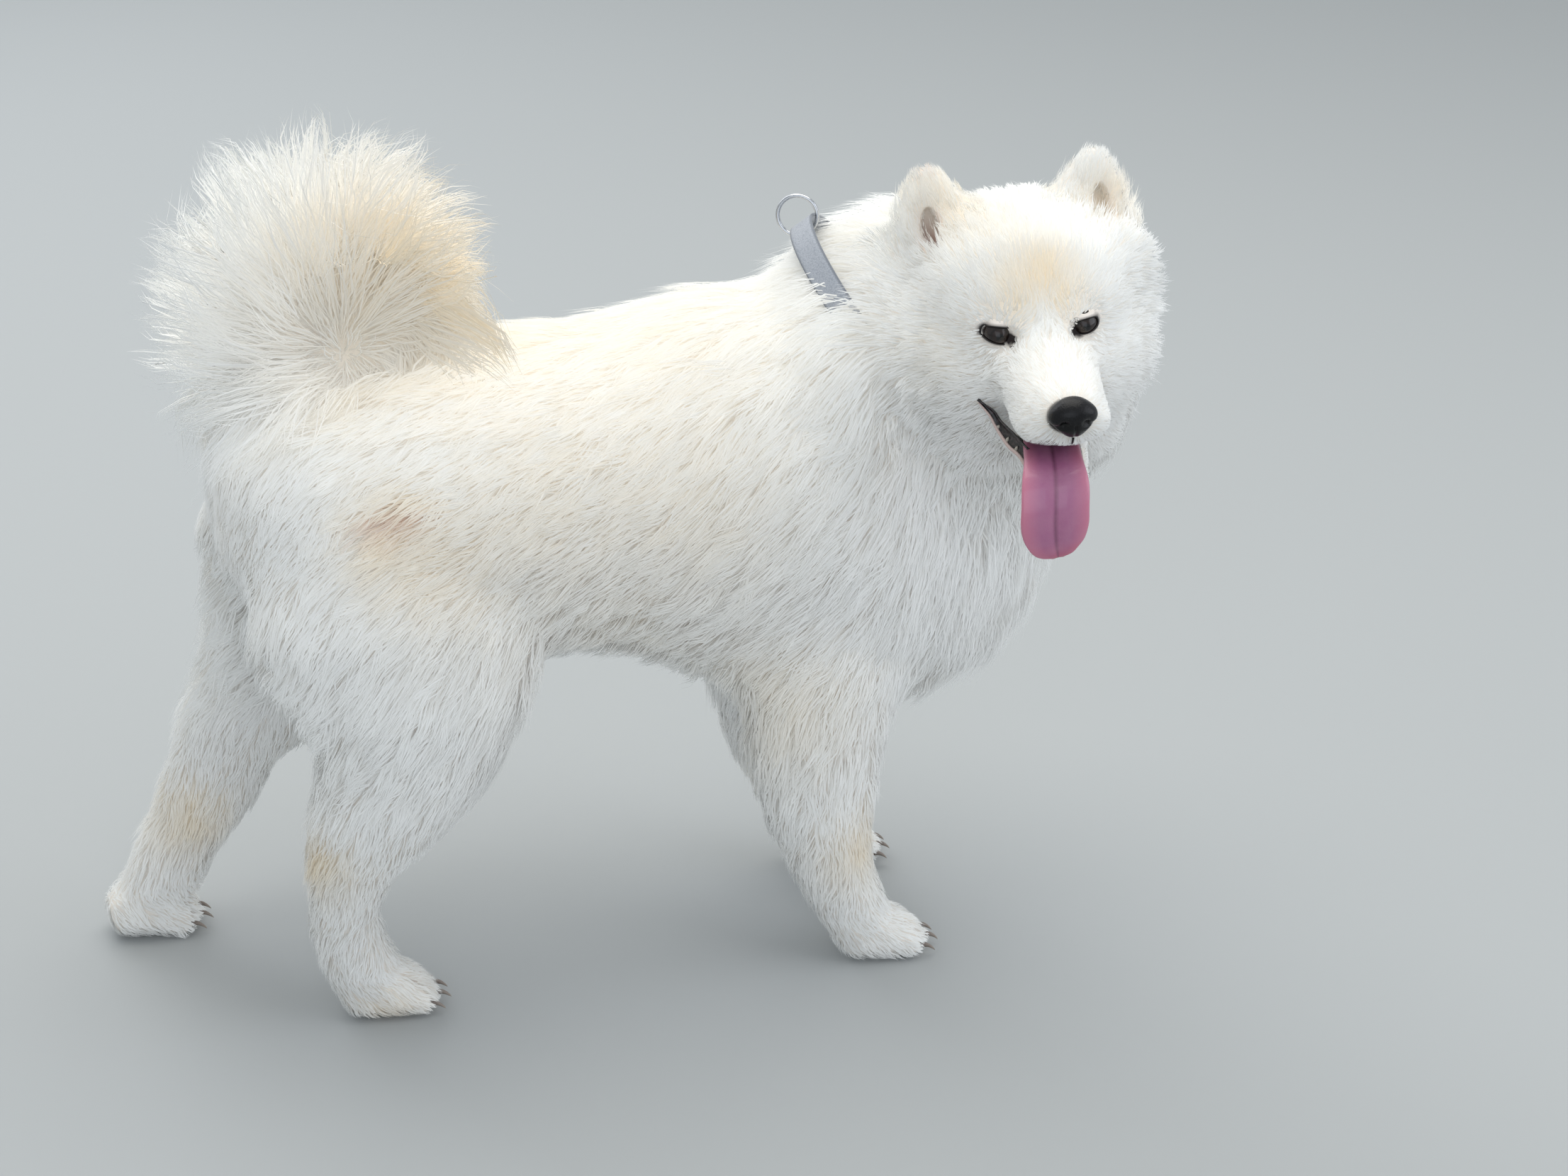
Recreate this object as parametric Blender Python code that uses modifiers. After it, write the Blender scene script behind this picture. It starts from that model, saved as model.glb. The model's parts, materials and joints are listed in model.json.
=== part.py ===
# A samoyed, standing, life size, with its head turned to its right.
# The dog faces +X, its left side is +Y, and the floor is at z = 0. Metres.
# Every solid gives the outline of the coat, out to the tips of the hair.

from math import cos, pi, radians, sin

import bmesh
import bpy
from mathutils import Euler, Matrix, Vector

# Driving dimensions

WITHERS_HEIGHT = 0.543
LOIN_HEIGHT = 0.527
LOIN_CENTRE = 0.398
TRUNK_HALF_WIDTH = 0.127
BIB_HEIGHT = 0.180

HEAD_TURN = 98.0
HEAD_TILT = 3.5
EYE_LINE = Vector((0.238, -0.166, 0.547))
EYE_SPREAD = 0.064
EYE_RADIUS = 0.0115
EYE_DEPTH = 0.0045
ORBIT_DEPTH = 0.0085
MUZZLE_LENGTH = 0.092
SKULL_HALF_WIDTH = 0.088
RUFF_HALF_WIDTH = 0.122
EAR_HEIGHT = 0.054
JAW_DROP = 0.030
TONGUE_HALF_WIDTH = 0.025
TONGUE_THICKNESS = 0.007

TAIL_CURL_CENTRE = Vector((-0.222, 0.0, 0.553))
TAIL_HALF_WIDTH = 0.052
TAIL_HOLLOW = 0.010
TAIL_WEB_HALF_WIDTH = 0.034

RIGHT_FORE_FOOT = (0.147, -0.096)
LEFT_FORE_FOOT = (0.157, 0.052)
RIGHT_HIND_FOOT = (-0.244, -0.063)
LEFT_HIND_FOOT = (-0.404, 0.110)

PAW_LENGTH = 0.076
PAW_HALF_WIDTH = 0.030
TOE_RADIUS = 0.0115
CLAW_LENGTH = 0.016

COLLAR_TOP = Vector((0.112, 0.006, 0.584))
COLLAR_THROAT = Vector((0.203, -0.066, 0.442))
COLLAR_HALF_WIDTH = 0.060
STRAP_WIDTH = 0.020
STRAP_THICKNESS = 0.0024
RING_RADIUS = 0.0150
RING_WIRE = 0.0016

GAP = 0.0005
SOCKET_GAP = 0.0004
VOXEL = 0.0060
BODY_SIDES = 24
COARSE_TRIANGLES = 2900
FINE_WEIGHT = 0.984

UP = Vector((0.0, 0.0, 1.0))
AHEAD = Vector((1.0, 0.0, 0.0))
LEFT = Vector((0.0, 1.0, 0.0))

# The head's own frame: x to the dog's right, y forward, z up, from between the eyes

HEAD_YAW = Matrix.Rotation(radians(-HEAD_TURN - 90.0), 4, "Z")
HEAD_ROLL = Matrix.Rotation(radians(HEAD_TILT), 4, "Y")
HEAD_FRAME = Matrix.Translation(EYE_LINE) @ HEAD_YAW @ HEAD_ROLL


def fresh_scene():
    for item in list(bpy.data.objects):
        bpy.data.objects.remove(item)
    names = ("samoyed", "cutters")
    for name in names:
        old = bpy.data.collections.get(name)
        if old:
            bpy.data.collections.remove(old)
        bpy.context.scene.collection.children.link(bpy.data.collections.new(name))


def material(name, colour, roughness, metallic=0.0):
    made = bpy.data.materials.get(name) or bpy.data.materials.new(name)
    made.use_nodes = True
    shader = made.node_tree.nodes["Principled BSDF"]
    shader.inputs["Base Color"].default_value = (*colour, 1.0)
    shader.inputs["Roughness"].default_value = roughness
    shader.inputs["Metallic"].default_value = metallic
    made.diffuse_color = (*colour, 1.0)
    return made


def as_object(name, shape, finish=None, collection="samoyed"):
    mesh = bpy.data.meshes.new(name)
    bmesh.ops.recalc_face_normals(shape, faces=shape.faces)
    shape.to_mesh(mesh)
    shape.free()
    made = bpy.data.objects.new(name, mesh)
    bpy.data.collections[collection].objects.link(made)
    if finish:
        mesh.materials.append(finish)
    return made


# A loft is a row of ellipses, each square to a fixed axis or to the line through their centres


def lofted(shape, stations, hint, place=None, sides=BODY_SIDES, axis=None):
    """Stations hold a centre, a half width across the hint and a half width along it."""
    centres = [Vector(station[:3]) for station in stations]
    rings = []
    for index, station in enumerate(stations):
        before = centres[max(index - 1, 0)]
        after = centres[min(index + 1, len(centres) - 1)]
        along = axis or (after - before).normalized()
        side = along.cross(hint).normalized()
        over = side.cross(along)
        turn = Matrix((side * station[3], over * station[4], along)).transposed().to_4x4()
        spot = Matrix.Translation(centres[index]) @ turn
        spot = place @ spot if place else spot
        made = bmesh.ops.create_circle(shape, segments=sides, radius=1.0, matrix=spot)
        verts = set(made["verts"])
        rings.append([edge for edge in shape.edges if edge.verts[0] in verts and edge.verts[1] in verts])
    for near, far in zip(rings, rings[1:]):
        bmesh.ops.bridge_loops(shape, edges=near + far)
    for end in (rings[0], rings[-1]):
        bmesh.ops.holes_fill(shape, edges=end, sides=sides)


def ellipsoid(shape, centre, radii, place=None, turn=(0.0, 0.0, 0.0), segments=16):
    spin = Euler([radians(angle) for angle in turn]).to_matrix().to_4x4()
    spot = Matrix.Translation(Vector(centre)) @ spin @ Matrix.Diagonal((*radii, 1.0))
    spot = place @ spot if place else spot
    bmesh.ops.create_uvsphere(shape, u_segments=segments, v_segments=segments // 2, radius=1.0, matrix=spot)


# Trunk, from the breeches to the bib


def add_trunk(shape):
    wide = TRUNK_HALF_WIDTH
    deep = LOIN_HEIGHT - LOIN_CENTRE
    chest = (WITHERS_HEIGHT + BIB_HEIGHT) / 2
    barrel = (WITHERS_HEIGHT - BIB_HEIGHT) / 2
    lofted(shape, (
        (-0.345, 0.0, 0.425, 0.4 * wide, 0.40 * deep),
        (-0.322, 0.0, 0.415, 0.7 * wide, 0.68 * deep),
        (-0.280, 0.0, 0.408, 0.9 * wide, 0.88 * deep),
        (-0.215, 0.0, 0.402, wide, 0.98 * deep),
        (-0.120, 0.0, LOIN_CENTRE, wide, deep),
        (-0.050, 0.0, LOIN_CENTRE - 0.004, wide, 1.02 * deep),
        (0.030, 0.0, chest + 0.018, 1.04 * wide, 0.90 * barrel),
        (0.090, 0.0, chest + 0.006, 1.07 * wide, 0.97 * barrel),
        (0.145, 0.0, chest, 1.05 * wide, barrel),
        (0.195, 0.0, chest - 0.006, wide, 0.96 * barrel),
        (0.230, 0.0, chest - 0.008, 0.93 * wide, 0.90 * barrel),
        (0.262, 0.0, chest - 0.006, 0.83 * wide, 0.79 * barrel),
        (0.288, 0.0, chest + 0.004, 0.69 * wide, 0.64 * barrel),
        (0.308, 0.0, chest + 0.022, 0.54 * wide, 0.45 * barrel),
        (0.324, 0.0, chest + 0.042, 0.36 * wide, 0.28 * barrel),
        (0.332, 0.0, chest + 0.052, 0.18 * wide, 0.13 * barrel),
    ), UP, axis=AHEAD)


# Neck and ruff: the mane runs up from the withers and swings round to the right


def add_neck(shape):
    wide = RUFF_HALF_WIDTH
    lofted(shape, (
        (0.075, 0.000, 0.420, 0.82 * wide, 0.82 * wide),
        (0.130, -0.002, 0.428, 0.96 * wide, 1.04 * wide),
        (0.180, -0.012, 0.448, 1.01 * wide, 1.12 * wide),
        (0.218, -0.034, 0.470, 1.04 * wide, 1.14 * wide),
        (0.233, -0.062, 0.484, 1.02 * wide, 1.08 * wide),
        (0.238, -0.090, 0.492, 0.97 * wide, 0.94 * wide),
    ), UP)


# Head, in its own frame: skull, brow and muzzle, then cheeks, ears and lower jaw


def add_head(shape):
    skull = SKULL_HALF_WIDTH
    nose = MUZZLE_LENGTH
    lofted(shape, (
        (0.0, -0.135, 0.005, 0.60 * skull, 0.052),
        (0.0, -0.105, 0.010, 0.92 * skull, 0.068),
        (0.0, -0.075, 0.004, skull, 0.078),
        (0.0, -0.045, -0.006, 0.95 * skull, 0.072),
        (0.0, -0.024, -0.016, 0.80 * skull, 0.055),
        (0.0, -0.009, -0.024, 0.62 * skull, 0.043),
        (0.0, 0.005, -0.030, 0.50 * skull, 0.036),
        (0.0, 0.25 * nose, -0.033, 0.43 * skull, 0.031),
        (0.0, 0.50 * nose, -0.036, 0.40 * skull, 0.027),
        (0.0, 0.78 * nose, -0.038, 0.33 * skull, 0.023),
        (0.0, 0.95 * nose, -0.040, 0.25 * skull, 0.018),
        (0.0, nose + 0.001, -0.041, 0.12 * skull, 0.010),
    ), UP, HEAD_FRAME)
    for side in (-1, 1):
        ellipsoid(shape, (side * 0.020, 0.52 * nose, -0.046), (0.017, 0.040, 0.017), HEAD_FRAME)
        ellipsoid(shape, (side * 0.027, -0.016, 0.013), (0.017, 0.015, 0.010), HEAD_FRAME)


def add_cheeks(shape):
    """The fur of the cheeks flares from the corners of the mouth out to the ruff."""
    wide = RUFF_HALF_WIDTH
    lofted(shape, (
        (0.004, -0.110, -0.036, 0.90 * wide, 0.092),
        (0.004, -0.080, -0.038, 0.95 * wide, 0.092),
        (0.002, -0.055, -0.040, 0.92 * wide, 0.084),
        (0.0, -0.032, -0.043, 0.82 * wide, 0.070),
        (0.0, -0.012, -0.047, 0.64 * wide, 0.054),
        (0.0, 0.004, -0.050, 0.46 * wide, 0.038),
        (0.0, 0.016, -0.052, 0.28 * wide, 0.024),
    ), UP, HEAD_FRAME)
    for side in (-1, 1):
        ellipsoid(shape, (side * 0.030, -0.055, -0.095), (0.054, 0.040, 0.058), HEAD_FRAME)
    ellipsoid(shape, (-0.062, -0.066, 0.010), (0.052, 0.038, 0.052), HEAD_FRAME)


def add_jaw(shape):
    front = MUZZLE_LENGTH - 0.030
    drop = JAW_DROP
    lofted(shape, (
        (0.0, -0.050, -0.075, 0.045, 0.030),
        (0.0, -0.015, -0.078, 0.036, 0.024),
        (0.0, 0.020, -0.074 - 0.35 * drop, 0.029, 0.019),
        (0.0, 0.045, -0.075 - 0.70 * drop, 0.024, 0.015),
        (0.0, front, -0.076 - 0.95 * drop, 0.018, 0.011),
        (0.0, front + 0.008, -0.076 - drop, 0.009, 0.006),
    ), UP, HEAD_FRAME)


def add_ears(shape):
    tall = EAR_HEIGHT
    for side in (-1, 1):
        lofted(shape, (
            (side * 0.052, -0.086, 0.030, 0.034, 0.022),
            (side * 0.056, -0.089, 0.030 + 0.40 * tall, 0.035, 0.020),
            (side * 0.060, -0.091, 0.030 + 0.75 * tall, 0.030, 0.017),
            (side * 0.062, -0.092, 0.030 + 1.06 * tall, 0.021, 0.013),
            (side * 0.063, -0.092, 0.030 + 1.28 * tall, 0.012, 0.009),
            (side * 0.0635, -0.092, 0.030 + 1.38 * tall, 0.005, 0.004),
        ), Vector((0.0, 1.0, 0.0)), HEAD_FRAME, 16)


# Legs: rings along each bone line, and the paws lofted forward from the heel


def add_leg(shape, stations):
    lofted(shape, stations, AHEAD, sides=16)


def add_paw(shape, foot):
    x, y = foot
    long = PAW_LENGTH
    wide = PAW_HALF_WIDTH
    lofted(shape, (
        (x - 0.52 * long, y, 0.018, 0.60 * wide, 0.016),
        (x - 0.40 * long, y, 0.020, 0.80 * wide, 0.023),
        (x - 0.05 * long, y, 0.021, wide, 0.025),
        (x + 0.22 * long, y, 0.017, wide, 0.020),
        (x + 0.36 * long, y, 0.014, 0.80 * wide, 0.014),
    ), UP, sides=16)
    for across, ahead in toe_places():
        centre = (x + ahead, y + across, TOE_RADIUS)
        ellipsoid(shape, centre, (1.35 * TOE_RADIUS, 0.82 * TOE_RADIUS, 1.12 * TOE_RADIUS), segments=12)


def toe_places():
    """Four toes, the middle two a little ahead, as (across, ahead) from the foot's middle."""
    places = []
    for step in (-1.5, -0.5, 0.5, 1.5):
        across = step * 0.50 * PAW_HALF_WIDTH
        ahead = PAW_LENGTH * (0.345 if abs(step) < 1 else 0.245)
        places.append((across, ahead))
    return places


def foreleg(shape, foot, shoulder_y):
    x, y = foot
    lean = (y - shoulder_y)
    add_leg(shape, (
        (x - 0.058, shoulder_y, 0.315, 0.050, 0.072),
        (x - 0.048, shoulder_y + 0.20 * lean, 0.260, 0.052, 0.070),
        (x - 0.052, shoulder_y + 0.45 * lean, 0.205, 0.047, 0.063),
        (x - 0.052, shoulder_y + 0.65 * lean, 0.150, 0.042, 0.051),
        (x - 0.046, shoulder_y + 0.85 * lean, 0.110, 0.035, 0.040),
        (x - 0.038, y, 0.078, 0.030, 0.033),
        (x - 0.026, y, 0.048, 0.028, 0.030),
        (x - 0.015, y, 0.024, 0.025, 0.028),
    ))


def right_hindleg(shape):
    x, y = RIGHT_HIND_FOOT
    add_leg(shape, (
        (x + 0.022, y - 0.004, 0.410, 0.058, 0.100),
        (x + 0.022, y - 0.018, 0.340, 0.062, 0.122),
        (x + 0.022, y - 0.028, 0.285, 0.057, 0.102),
        (x + 0.020, y - 0.030, 0.245, 0.050, 0.078),
        (x + 0.004, y - 0.028, 0.208, 0.044, 0.063),
        (x - 0.016, y - 0.024, 0.175, 0.038, 0.050),
        (x - 0.028, y - 0.018, 0.143, 0.033, 0.038),
        (x - 0.034, y - 0.012, 0.108, 0.029, 0.030),
        (x - 0.031, y - 0.006, 0.074, 0.027, 0.030),
        (x - 0.022, y - 0.002, 0.044, 0.027, 0.031),
        (x - 0.014, y, 0.022, 0.026, 0.030),
    ))


def left_hindleg(shape):
    x, y = LEFT_HIND_FOOT
    add_leg(shape, (
        (x + 0.174, y - 0.045, 0.410, 0.056, 0.100),
        (x + 0.168, y - 0.032, 0.345, 0.060, 0.120),
        (x + 0.152, y - 0.020, 0.290, 0.055, 0.106),
        (x + 0.126, y - 0.010, 0.240, 0.048, 0.084),
        (x + 0.096, y - 0.004, 0.200, 0.042, 0.062),
        (x + 0.070, y, 0.165, 0.036, 0.047),
        (x + 0.055, y, 0.128, 0.031, 0.043),
        (x + 0.032, y, 0.090, 0.028, 0.036),
        (x + 0.010, y, 0.054, 0.028, 0.034),
        (x - 0.004, y, 0.024, 0.027, 0.031),
    ))


def add_legs(shape):
    foreleg(shape, RIGHT_FORE_FOOT, -0.078)
    foreleg(shape, LEFT_FORE_FOOT, 0.072)
    right_hindleg(shape)
    left_hindleg(shape)


def add_paws(shape):
    for foot in (RIGHT_FORE_FOOT, LEFT_FORE_FOOT, RIGHT_HIND_FOOT, LEFT_HIND_FOOT):
        add_paw(shape, foot)


# Tail: a plume that rises from the croup and curls forward over the back


def tail_reach(turn):
    """How far the coat reaches from the middle of the curl, long behind and short in front."""
    behind = 0.150
    ahead = 0.092
    share = 0.5 - 0.5 * cos(min(max((turn - 15.0) / 130.0, 0.0), 1.0) * pi)
    return ahead + (behind - ahead) * share


def add_tail(shape):
    stations = [(-0.215, 0.0, 0.430, 0.060, 0.050), (-0.262, 0.0, 0.462, 0.072, 0.052)]
    first, last, steps = 205.0, -18.0, 9
    for step in range(steps + 1):
        turn = first + (last - first) * step / steps
        reach = tail_reach(turn)
        middle = (reach + TAIL_HOLLOW) / 2
        half = (reach - TAIL_HOLLOW) / 2
        x = TAIL_CURL_CENTRE.x + middle * cos(radians(turn))
        z = TAIL_CURL_CENTRE.z + middle * sin(radians(turn))
        lateral = TAIL_HALF_WIDTH * (1.0 if step < steps - 1 else 0.8)
        stations.append((x, 0.0, z, half, lateral))
    end = Vector(stations[-1][:3])
    tip = end + 0.016 * (end - Vector(stations[-2][:3])).normalized()
    stations.append((*tip, 0.5 * stations[-1][3], 0.5 * TAIL_HALF_WIDTH))
    lofted(shape, stations, LEFT)
    web = TAIL_CURL_CENTRE + Vector((0.004, 0.0, 0.014))
    ellipsoid(shape, web, (0.056, TAIL_WEB_HALF_WIDTH, 0.060))


# The whole coat as one skin: fused, smoothed, then coarsened away from the head


def evaluated_mesh(item):
    bpy.context.view_layer.update()
    graph = bpy.context.evaluated_depsgraph_get()
    return bpy.data.meshes.new_from_object(item.evaluated_get(graph))


def applied(item):
    mesh = evaluated_mesh(item)
    item.modifiers.clear()
    item.data = mesh
    return item


def soft_form(name, shape, voxel, passes, softened_above):
    """Fuse overlapping lofts into one closed skin and smooth what lies above a height."""
    form = as_object(name, shape)
    remesh = form.modifiers.new("fuse", "REMESH")
    remesh.mode = "VOXEL"
    remesh.voxel_size = voxel
    applied(form)
    group = form.vertex_groups.new(name="soft")
    high = [vertex.index for vertex in form.data.vertices if vertex.co.z > softened_above]
    group.add(high, 1.0, "REPLACE")
    smooth = form.modifiers.new("soften", "SMOOTH")
    smooth.factor = 0.5
    smooth.iterations = passes
    smooth.vertex_group = group.name
    return applied(form)


def whole_coat():
    shape = bmesh.new()
    add_trunk(shape)
    add_neck(shape)
    add_cheeks(shape)
    add_legs(shape)
    bulk = soft_form("bulk", shape, 1.4 * VOXEL, 14, 0.22)
    shape = bmesh.new()
    shape.from_mesh(bulk.data)
    bpy.data.objects.remove(bulk)
    add_head(shape)
    add_jaw(shape)
    add_ears(shape)
    add_legs(shape)
    add_paws(shape)
    add_tail(shape)
    return soft_form("coat", shape, VOXEL, 3, -1.0)


def coarsened(coat):
    keep = coat.vertex_groups.new(name="coarse")
    inverse = HEAD_FRAME.inverted()
    for vertex in coat.data.vertices:
        spot = inverse @ vertex.co
        beside = abs(spot.x) < 0.11
        on_face = abs(spot.x) < 0.13 and spot.y > -0.050 and spot.z > -0.125
        on_ear = beside and spot.z > 0.050 and spot.y > -0.13
        weight = FINE_WEIGHT if on_face or on_ear else 1.0
        keep.add([vertex.index], weight, "REPLACE")
    decimate = coat.modifiers.new("coarsen", "DECIMATE")
    decimate.vertex_group = keep.name
    decimate.vertex_group_factor = 1.0
    faces = sum(len(face.vertices) - 2 for face in coat.data.polygons)
    decimate.ratio = COARSE_TRIANGLES / faces
    applied(coat)
    return coat


def cut_to_floor(coat):
    """The paws stand on small flats, all at floor level."""
    shape = bmesh.new()
    shape.from_mesh(coat.data)
    everything = shape.verts[:] + shape.edges[:] + shape.faces[:]
    bmesh.ops.bisect_plane(shape, geom=everything, plane_co=(0, 0, 0), plane_no=UP, clear_inner=True)
    rim = [edge for edge in shape.edges if edge.is_boundary]
    bmesh.ops.holes_fill(shape, edges=rim, sides=0)
    shape.to_mesh(coat.data)
    shape.free()
    return coat


# Parting: each named piece is what lies in a box, and the rest keeps a thin gap to it


def block(name, low, high, place):
    shape = bmesh.new()
    low = Vector(low)
    high = Vector(high)
    spot = place @ Matrix.Translation((low + high) / 2) @ Matrix.Diagonal((*(high - low), 1.0))
    bmesh.ops.create_cube(shape, size=1.0, matrix=spot)
    return as_cutter(as_object(name, shape, collection="cutters"))


def as_cutter(item):
    item.hide_render = True
    item.display_type = "WIRE"
    return item


def cut(item, cutter, operation):
    boolean = item.modifiers.new(operation.lower(), "BOOLEAN")
    boolean.operation = operation
    boolean.solver = "EXACT"
    boolean.object = cutter
    return applied(item)


def largest_piece(item):
    """Drop the crumbs that a cut can leave beside the piece itself."""
    shape = bmesh.new()
    shape.from_mesh(item.data)
    left = set(shape.verts)
    islands = []
    while left:
        seed = left.pop()
        island = {seed}
        edge_of = [seed]
        while edge_of:
            here = edge_of.pop()
            for edge in here.link_edges:
                other = edge.other_vert(here)
                if other not in island:
                    island.add(other)
                    edge_of.append(other)
        left -= island
        islands.append(island)
    islands.sort(key=len)
    for crumb in islands[:-1]:
        bmesh.ops.delete(shape, geom=list(crumb), context="VERTS")
    shape.to_mesh(item.data)
    shape.free()
    return item


def part_off(rest, name, low, high, place=None):
    place = place or Matrix.Identity(4)
    grown = Vector((GAP, GAP, GAP))
    piece = rest.copy()
    piece.data = rest.data.copy()
    piece.name = name
    piece.data.name = name
    bpy.data.collections["samoyed"].objects.link(piece)
    cut(piece, block(name + "_box", low, high, place), "INTERSECT")
    cut(rest, block(name + "_room", Vector(low) - grown, Vector(high) + grown, place), "DIFFERENCE")
    largest_piece(piece)
    largest_piece(rest)
    return piece


def turned(centre, degrees, axis, frame=None):
    place = Matrix.Translation(Vector(centre)) @ Matrix.Rotation(radians(degrees), 4, axis)
    return frame @ place if frame else place


def part_tail(coat):
    middle = TAIL_CURL_CENTRE
    part_off(coat, "tail_tip", (middle.x + 0.0175, -0.09, LOIN_HEIGHT + 0.004), (-0.05, 0.09, 0.600))
    part_off(coat, "tail_middle", (-0.45, -0.09, 0.600), (-0.05, 0.09, 0.75))
    seat = turned((-0.200, 0.0, 0.535), -21.0, "Y")
    part_off(coat, "tail_root", (-0.25, -0.09, 0.0), (0.03, 0.09, 0.16), seat)


def part_ears(coat):
    for name, side in (("ear_right", 1), ("ear_left", -1)):
        seat = turned((side * 0.056, -0.088, 0.051), side * 33.0, "Y", HEAD_FRAME)
        part_off(coat, name, (-0.041, -0.029, 0.0), (0.041, 0.029, 0.09), seat)


def part_head(coat):
    seat = turned((0.0, -0.063, -0.032), 24.7, "X", HEAD_FRAME)
    head = part_off(coat, "head", (-0.17, 0.0, -0.20), (0.112, 0.26, 0.20), seat)
    gape = turned((0.0, 0.002, -0.060), -13.0, "X", HEAD_FRAME)
    jaw = part_off(head, "lower_jaw", (-0.070, 0.0, -0.10), (0.070, 0.14, 0.0), gape)
    return head, jaw


def part_legs(coat):
    fore = (
        ("right", (-0.05, -0.25), (0.170, -0.045)),
        ("left", (-0.05, 0.022), (0.170, 0.25)),
    )
    for side, low, high in fore:
        part_off(coat, "foreleg_" + side + "_paw", (*low, -0.05), (high[0] + 0.10, high[1], 0.052))
        part_off(coat, "foreleg_" + side + "_lower", (*low, 0.052 + GAP), (*high, 0.150))
        part_off(coat, "foreleg_" + side + "_upper", (*low, 0.150 + GAP), (*high, 0.262))
    hind = (
        ("right", (-0.36, -0.25), (-0.08, -0.004)),
        ("left", (-0.50, 0.004), (-0.08, 0.25)),
    )
    for side, low, high in hind:
        part_off(coat, "hindleg_" + side + "_paw", (*low, -0.05), (*high, 0.052))
        part_off(coat, "hindleg_" + side + "_shank", (*low, 0.052 + GAP), (*high, 0.215))
        part_off(coat, "hindleg_" + side + "_thigh", (*low, 0.215 + GAP), (*high, 0.350))


def part_trunk(coat):
    seat = turned((0.085, 0.0, 0.560), 38.0, "Y")
    part_off(coat, "neck", (-0.10, -0.20, 0.0), (0.45, 0.20, 0.30), seat)
    part_off(coat, "loin", (-0.60, -0.20, 0.0), (-0.020, 0.20, 0.60))
    coat.name = "chest"
    coat.data.name = "chest"


# Small parts: eyes, nose, tongue, claws and the collar with its ring


def solid_ellipsoid(name, centre, radii, grow, segments=14):
    shape = bmesh.new()
    ellipsoid(shape, centre, [radius + grow for radius in radii], HEAD_FRAME, segments=segments)
    return as_object(name, shape, collection="cutters" if grow else "samoyed")


def fitted(name, maker, *hosts):
    """Make a small part, and cut its room, a little larger, out of what holds it."""
    part = maker(name, 0.0)
    room = as_cutter(maker(name + "_room", SOCKET_GAP))
    for host in hosts:
        cut(host, room, "DIFFERENCE")
        largest_piece(host)
    return part


def carve_orbits(head):
    """Each eye lies in a shallow hollow under the brow, so that it breaks the coat's surface."""
    for name, side in (("right_orbit", 1), ("left_orbit", -1)):
        shape = bmesh.new()
        centre = (side * (EYE_SPREAD / 2 + 0.001), ORBIT_DEPTH + 0.0020, 0.0)
        ellipsoid(shape, centre, (1.35 * EYE_RADIUS, ORBIT_DEPTH, 0.80 * EYE_RADIUS), HEAD_FRAME)
        cut(head, as_cutter(as_object(name, shape, collection="cutters")), "DIFFERENCE")


def eye_maker(side):
    def maker(name, grow):
        centre = (side * EYE_SPREAD / 2, -EYE_DEPTH, 0.0)
        return solid_ellipsoid(name, centre, (EYE_RADIUS, EYE_RADIUS, EYE_RADIUS), grow)
    return maker


def make_nose(name, grow):
    centre = (0.0, MUZZLE_LENGTH - 0.002, -0.031)
    return solid_ellipsoid(name, centre, (0.0175, 0.0100, 0.0125), grow)


def make_tongue(name, grow):
    half = TONGUE_THICKNESS / 2 + grow
    wide = TONGUE_HALF_WIDTH + grow
    shape = bmesh.new()
    lofted(shape, (
        (0.002, 0.018 - grow, -0.0655, 0.80 * half, 0.55 * wide),
        (0.006, 0.045, -0.0700, half, 0.76 * wide),
        (0.009, 0.066, -0.0750, half, 0.84 * wide),
        (0.011, 0.079, -0.0840, half, 0.92 * wide),
        (0.013, 0.086, -0.0980, half, wide),
        (0.014, 0.087, -0.1140, half, 0.98 * wide),
        (0.013, 0.084, -0.1310, half, 0.82 * wide),
        (0.011, 0.081, -0.1420 - grow, 0.70 * half, 0.46 * wide),
    ), AHEAD, HEAD_FRAME, 14)
    return as_object(name, shape, collection="cutters" if grow else "samoyed")


def claw_maker(foot, across, ahead):
    def maker(name, grow):
        x = foot[0] + ahead
        y = foot[1] + across
        thick = 0.0027 + grow
        long = CLAW_LENGTH
        shape = bmesh.new()
        lofted(shape, (
            (x + 0.45 * long - grow, y, 0.0125, 0.75 * thick, thick),
            (x + 1.00 * long, y, 0.0110, 0.70 * thick, 0.85 * thick),
            (x + 1.30 * long, y, 0.0075, 0.45 * thick, 0.55 * thick),
            (x + 1.45 * long, y, 0.0035, 0.20 * thick, 0.20 * thick),
        ), UP, sides=5)
        return as_object(name, shape, collection="cutters" if grow else "samoyed")
    return maker


def make_claws():
    feet = (
        ("foreleg_right", RIGHT_FORE_FOOT),
        ("foreleg_left", LEFT_FORE_FOOT),
        ("hindleg_right", RIGHT_HIND_FOOT),
        ("hindleg_left", LEFT_HIND_FOOT),
    )
    for leg, foot in feet:
        paw = bpy.data.objects[leg + "_paw"]
        for number, (across, ahead) in enumerate(toe_places(), 1):
            fitted(f"claw_{leg}_{number}", claw_maker(foot, across, ahead), paw)


def collar_frame():
    """The collar's own frame: x across the neck, y from throat to nape, z along the neck."""
    nape = (COLLAR_TOP - COLLAR_THROAT).normalized()
    along = nape.cross(Vector((0.35, 0.94, 0.0))).normalized()
    across = nape.cross(along)
    turn = Matrix((across, nape, along)).transposed().to_4x4()
    return Matrix.Translation((COLLAR_TOP + COLLAR_THROAT) / 2) @ turn


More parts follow.
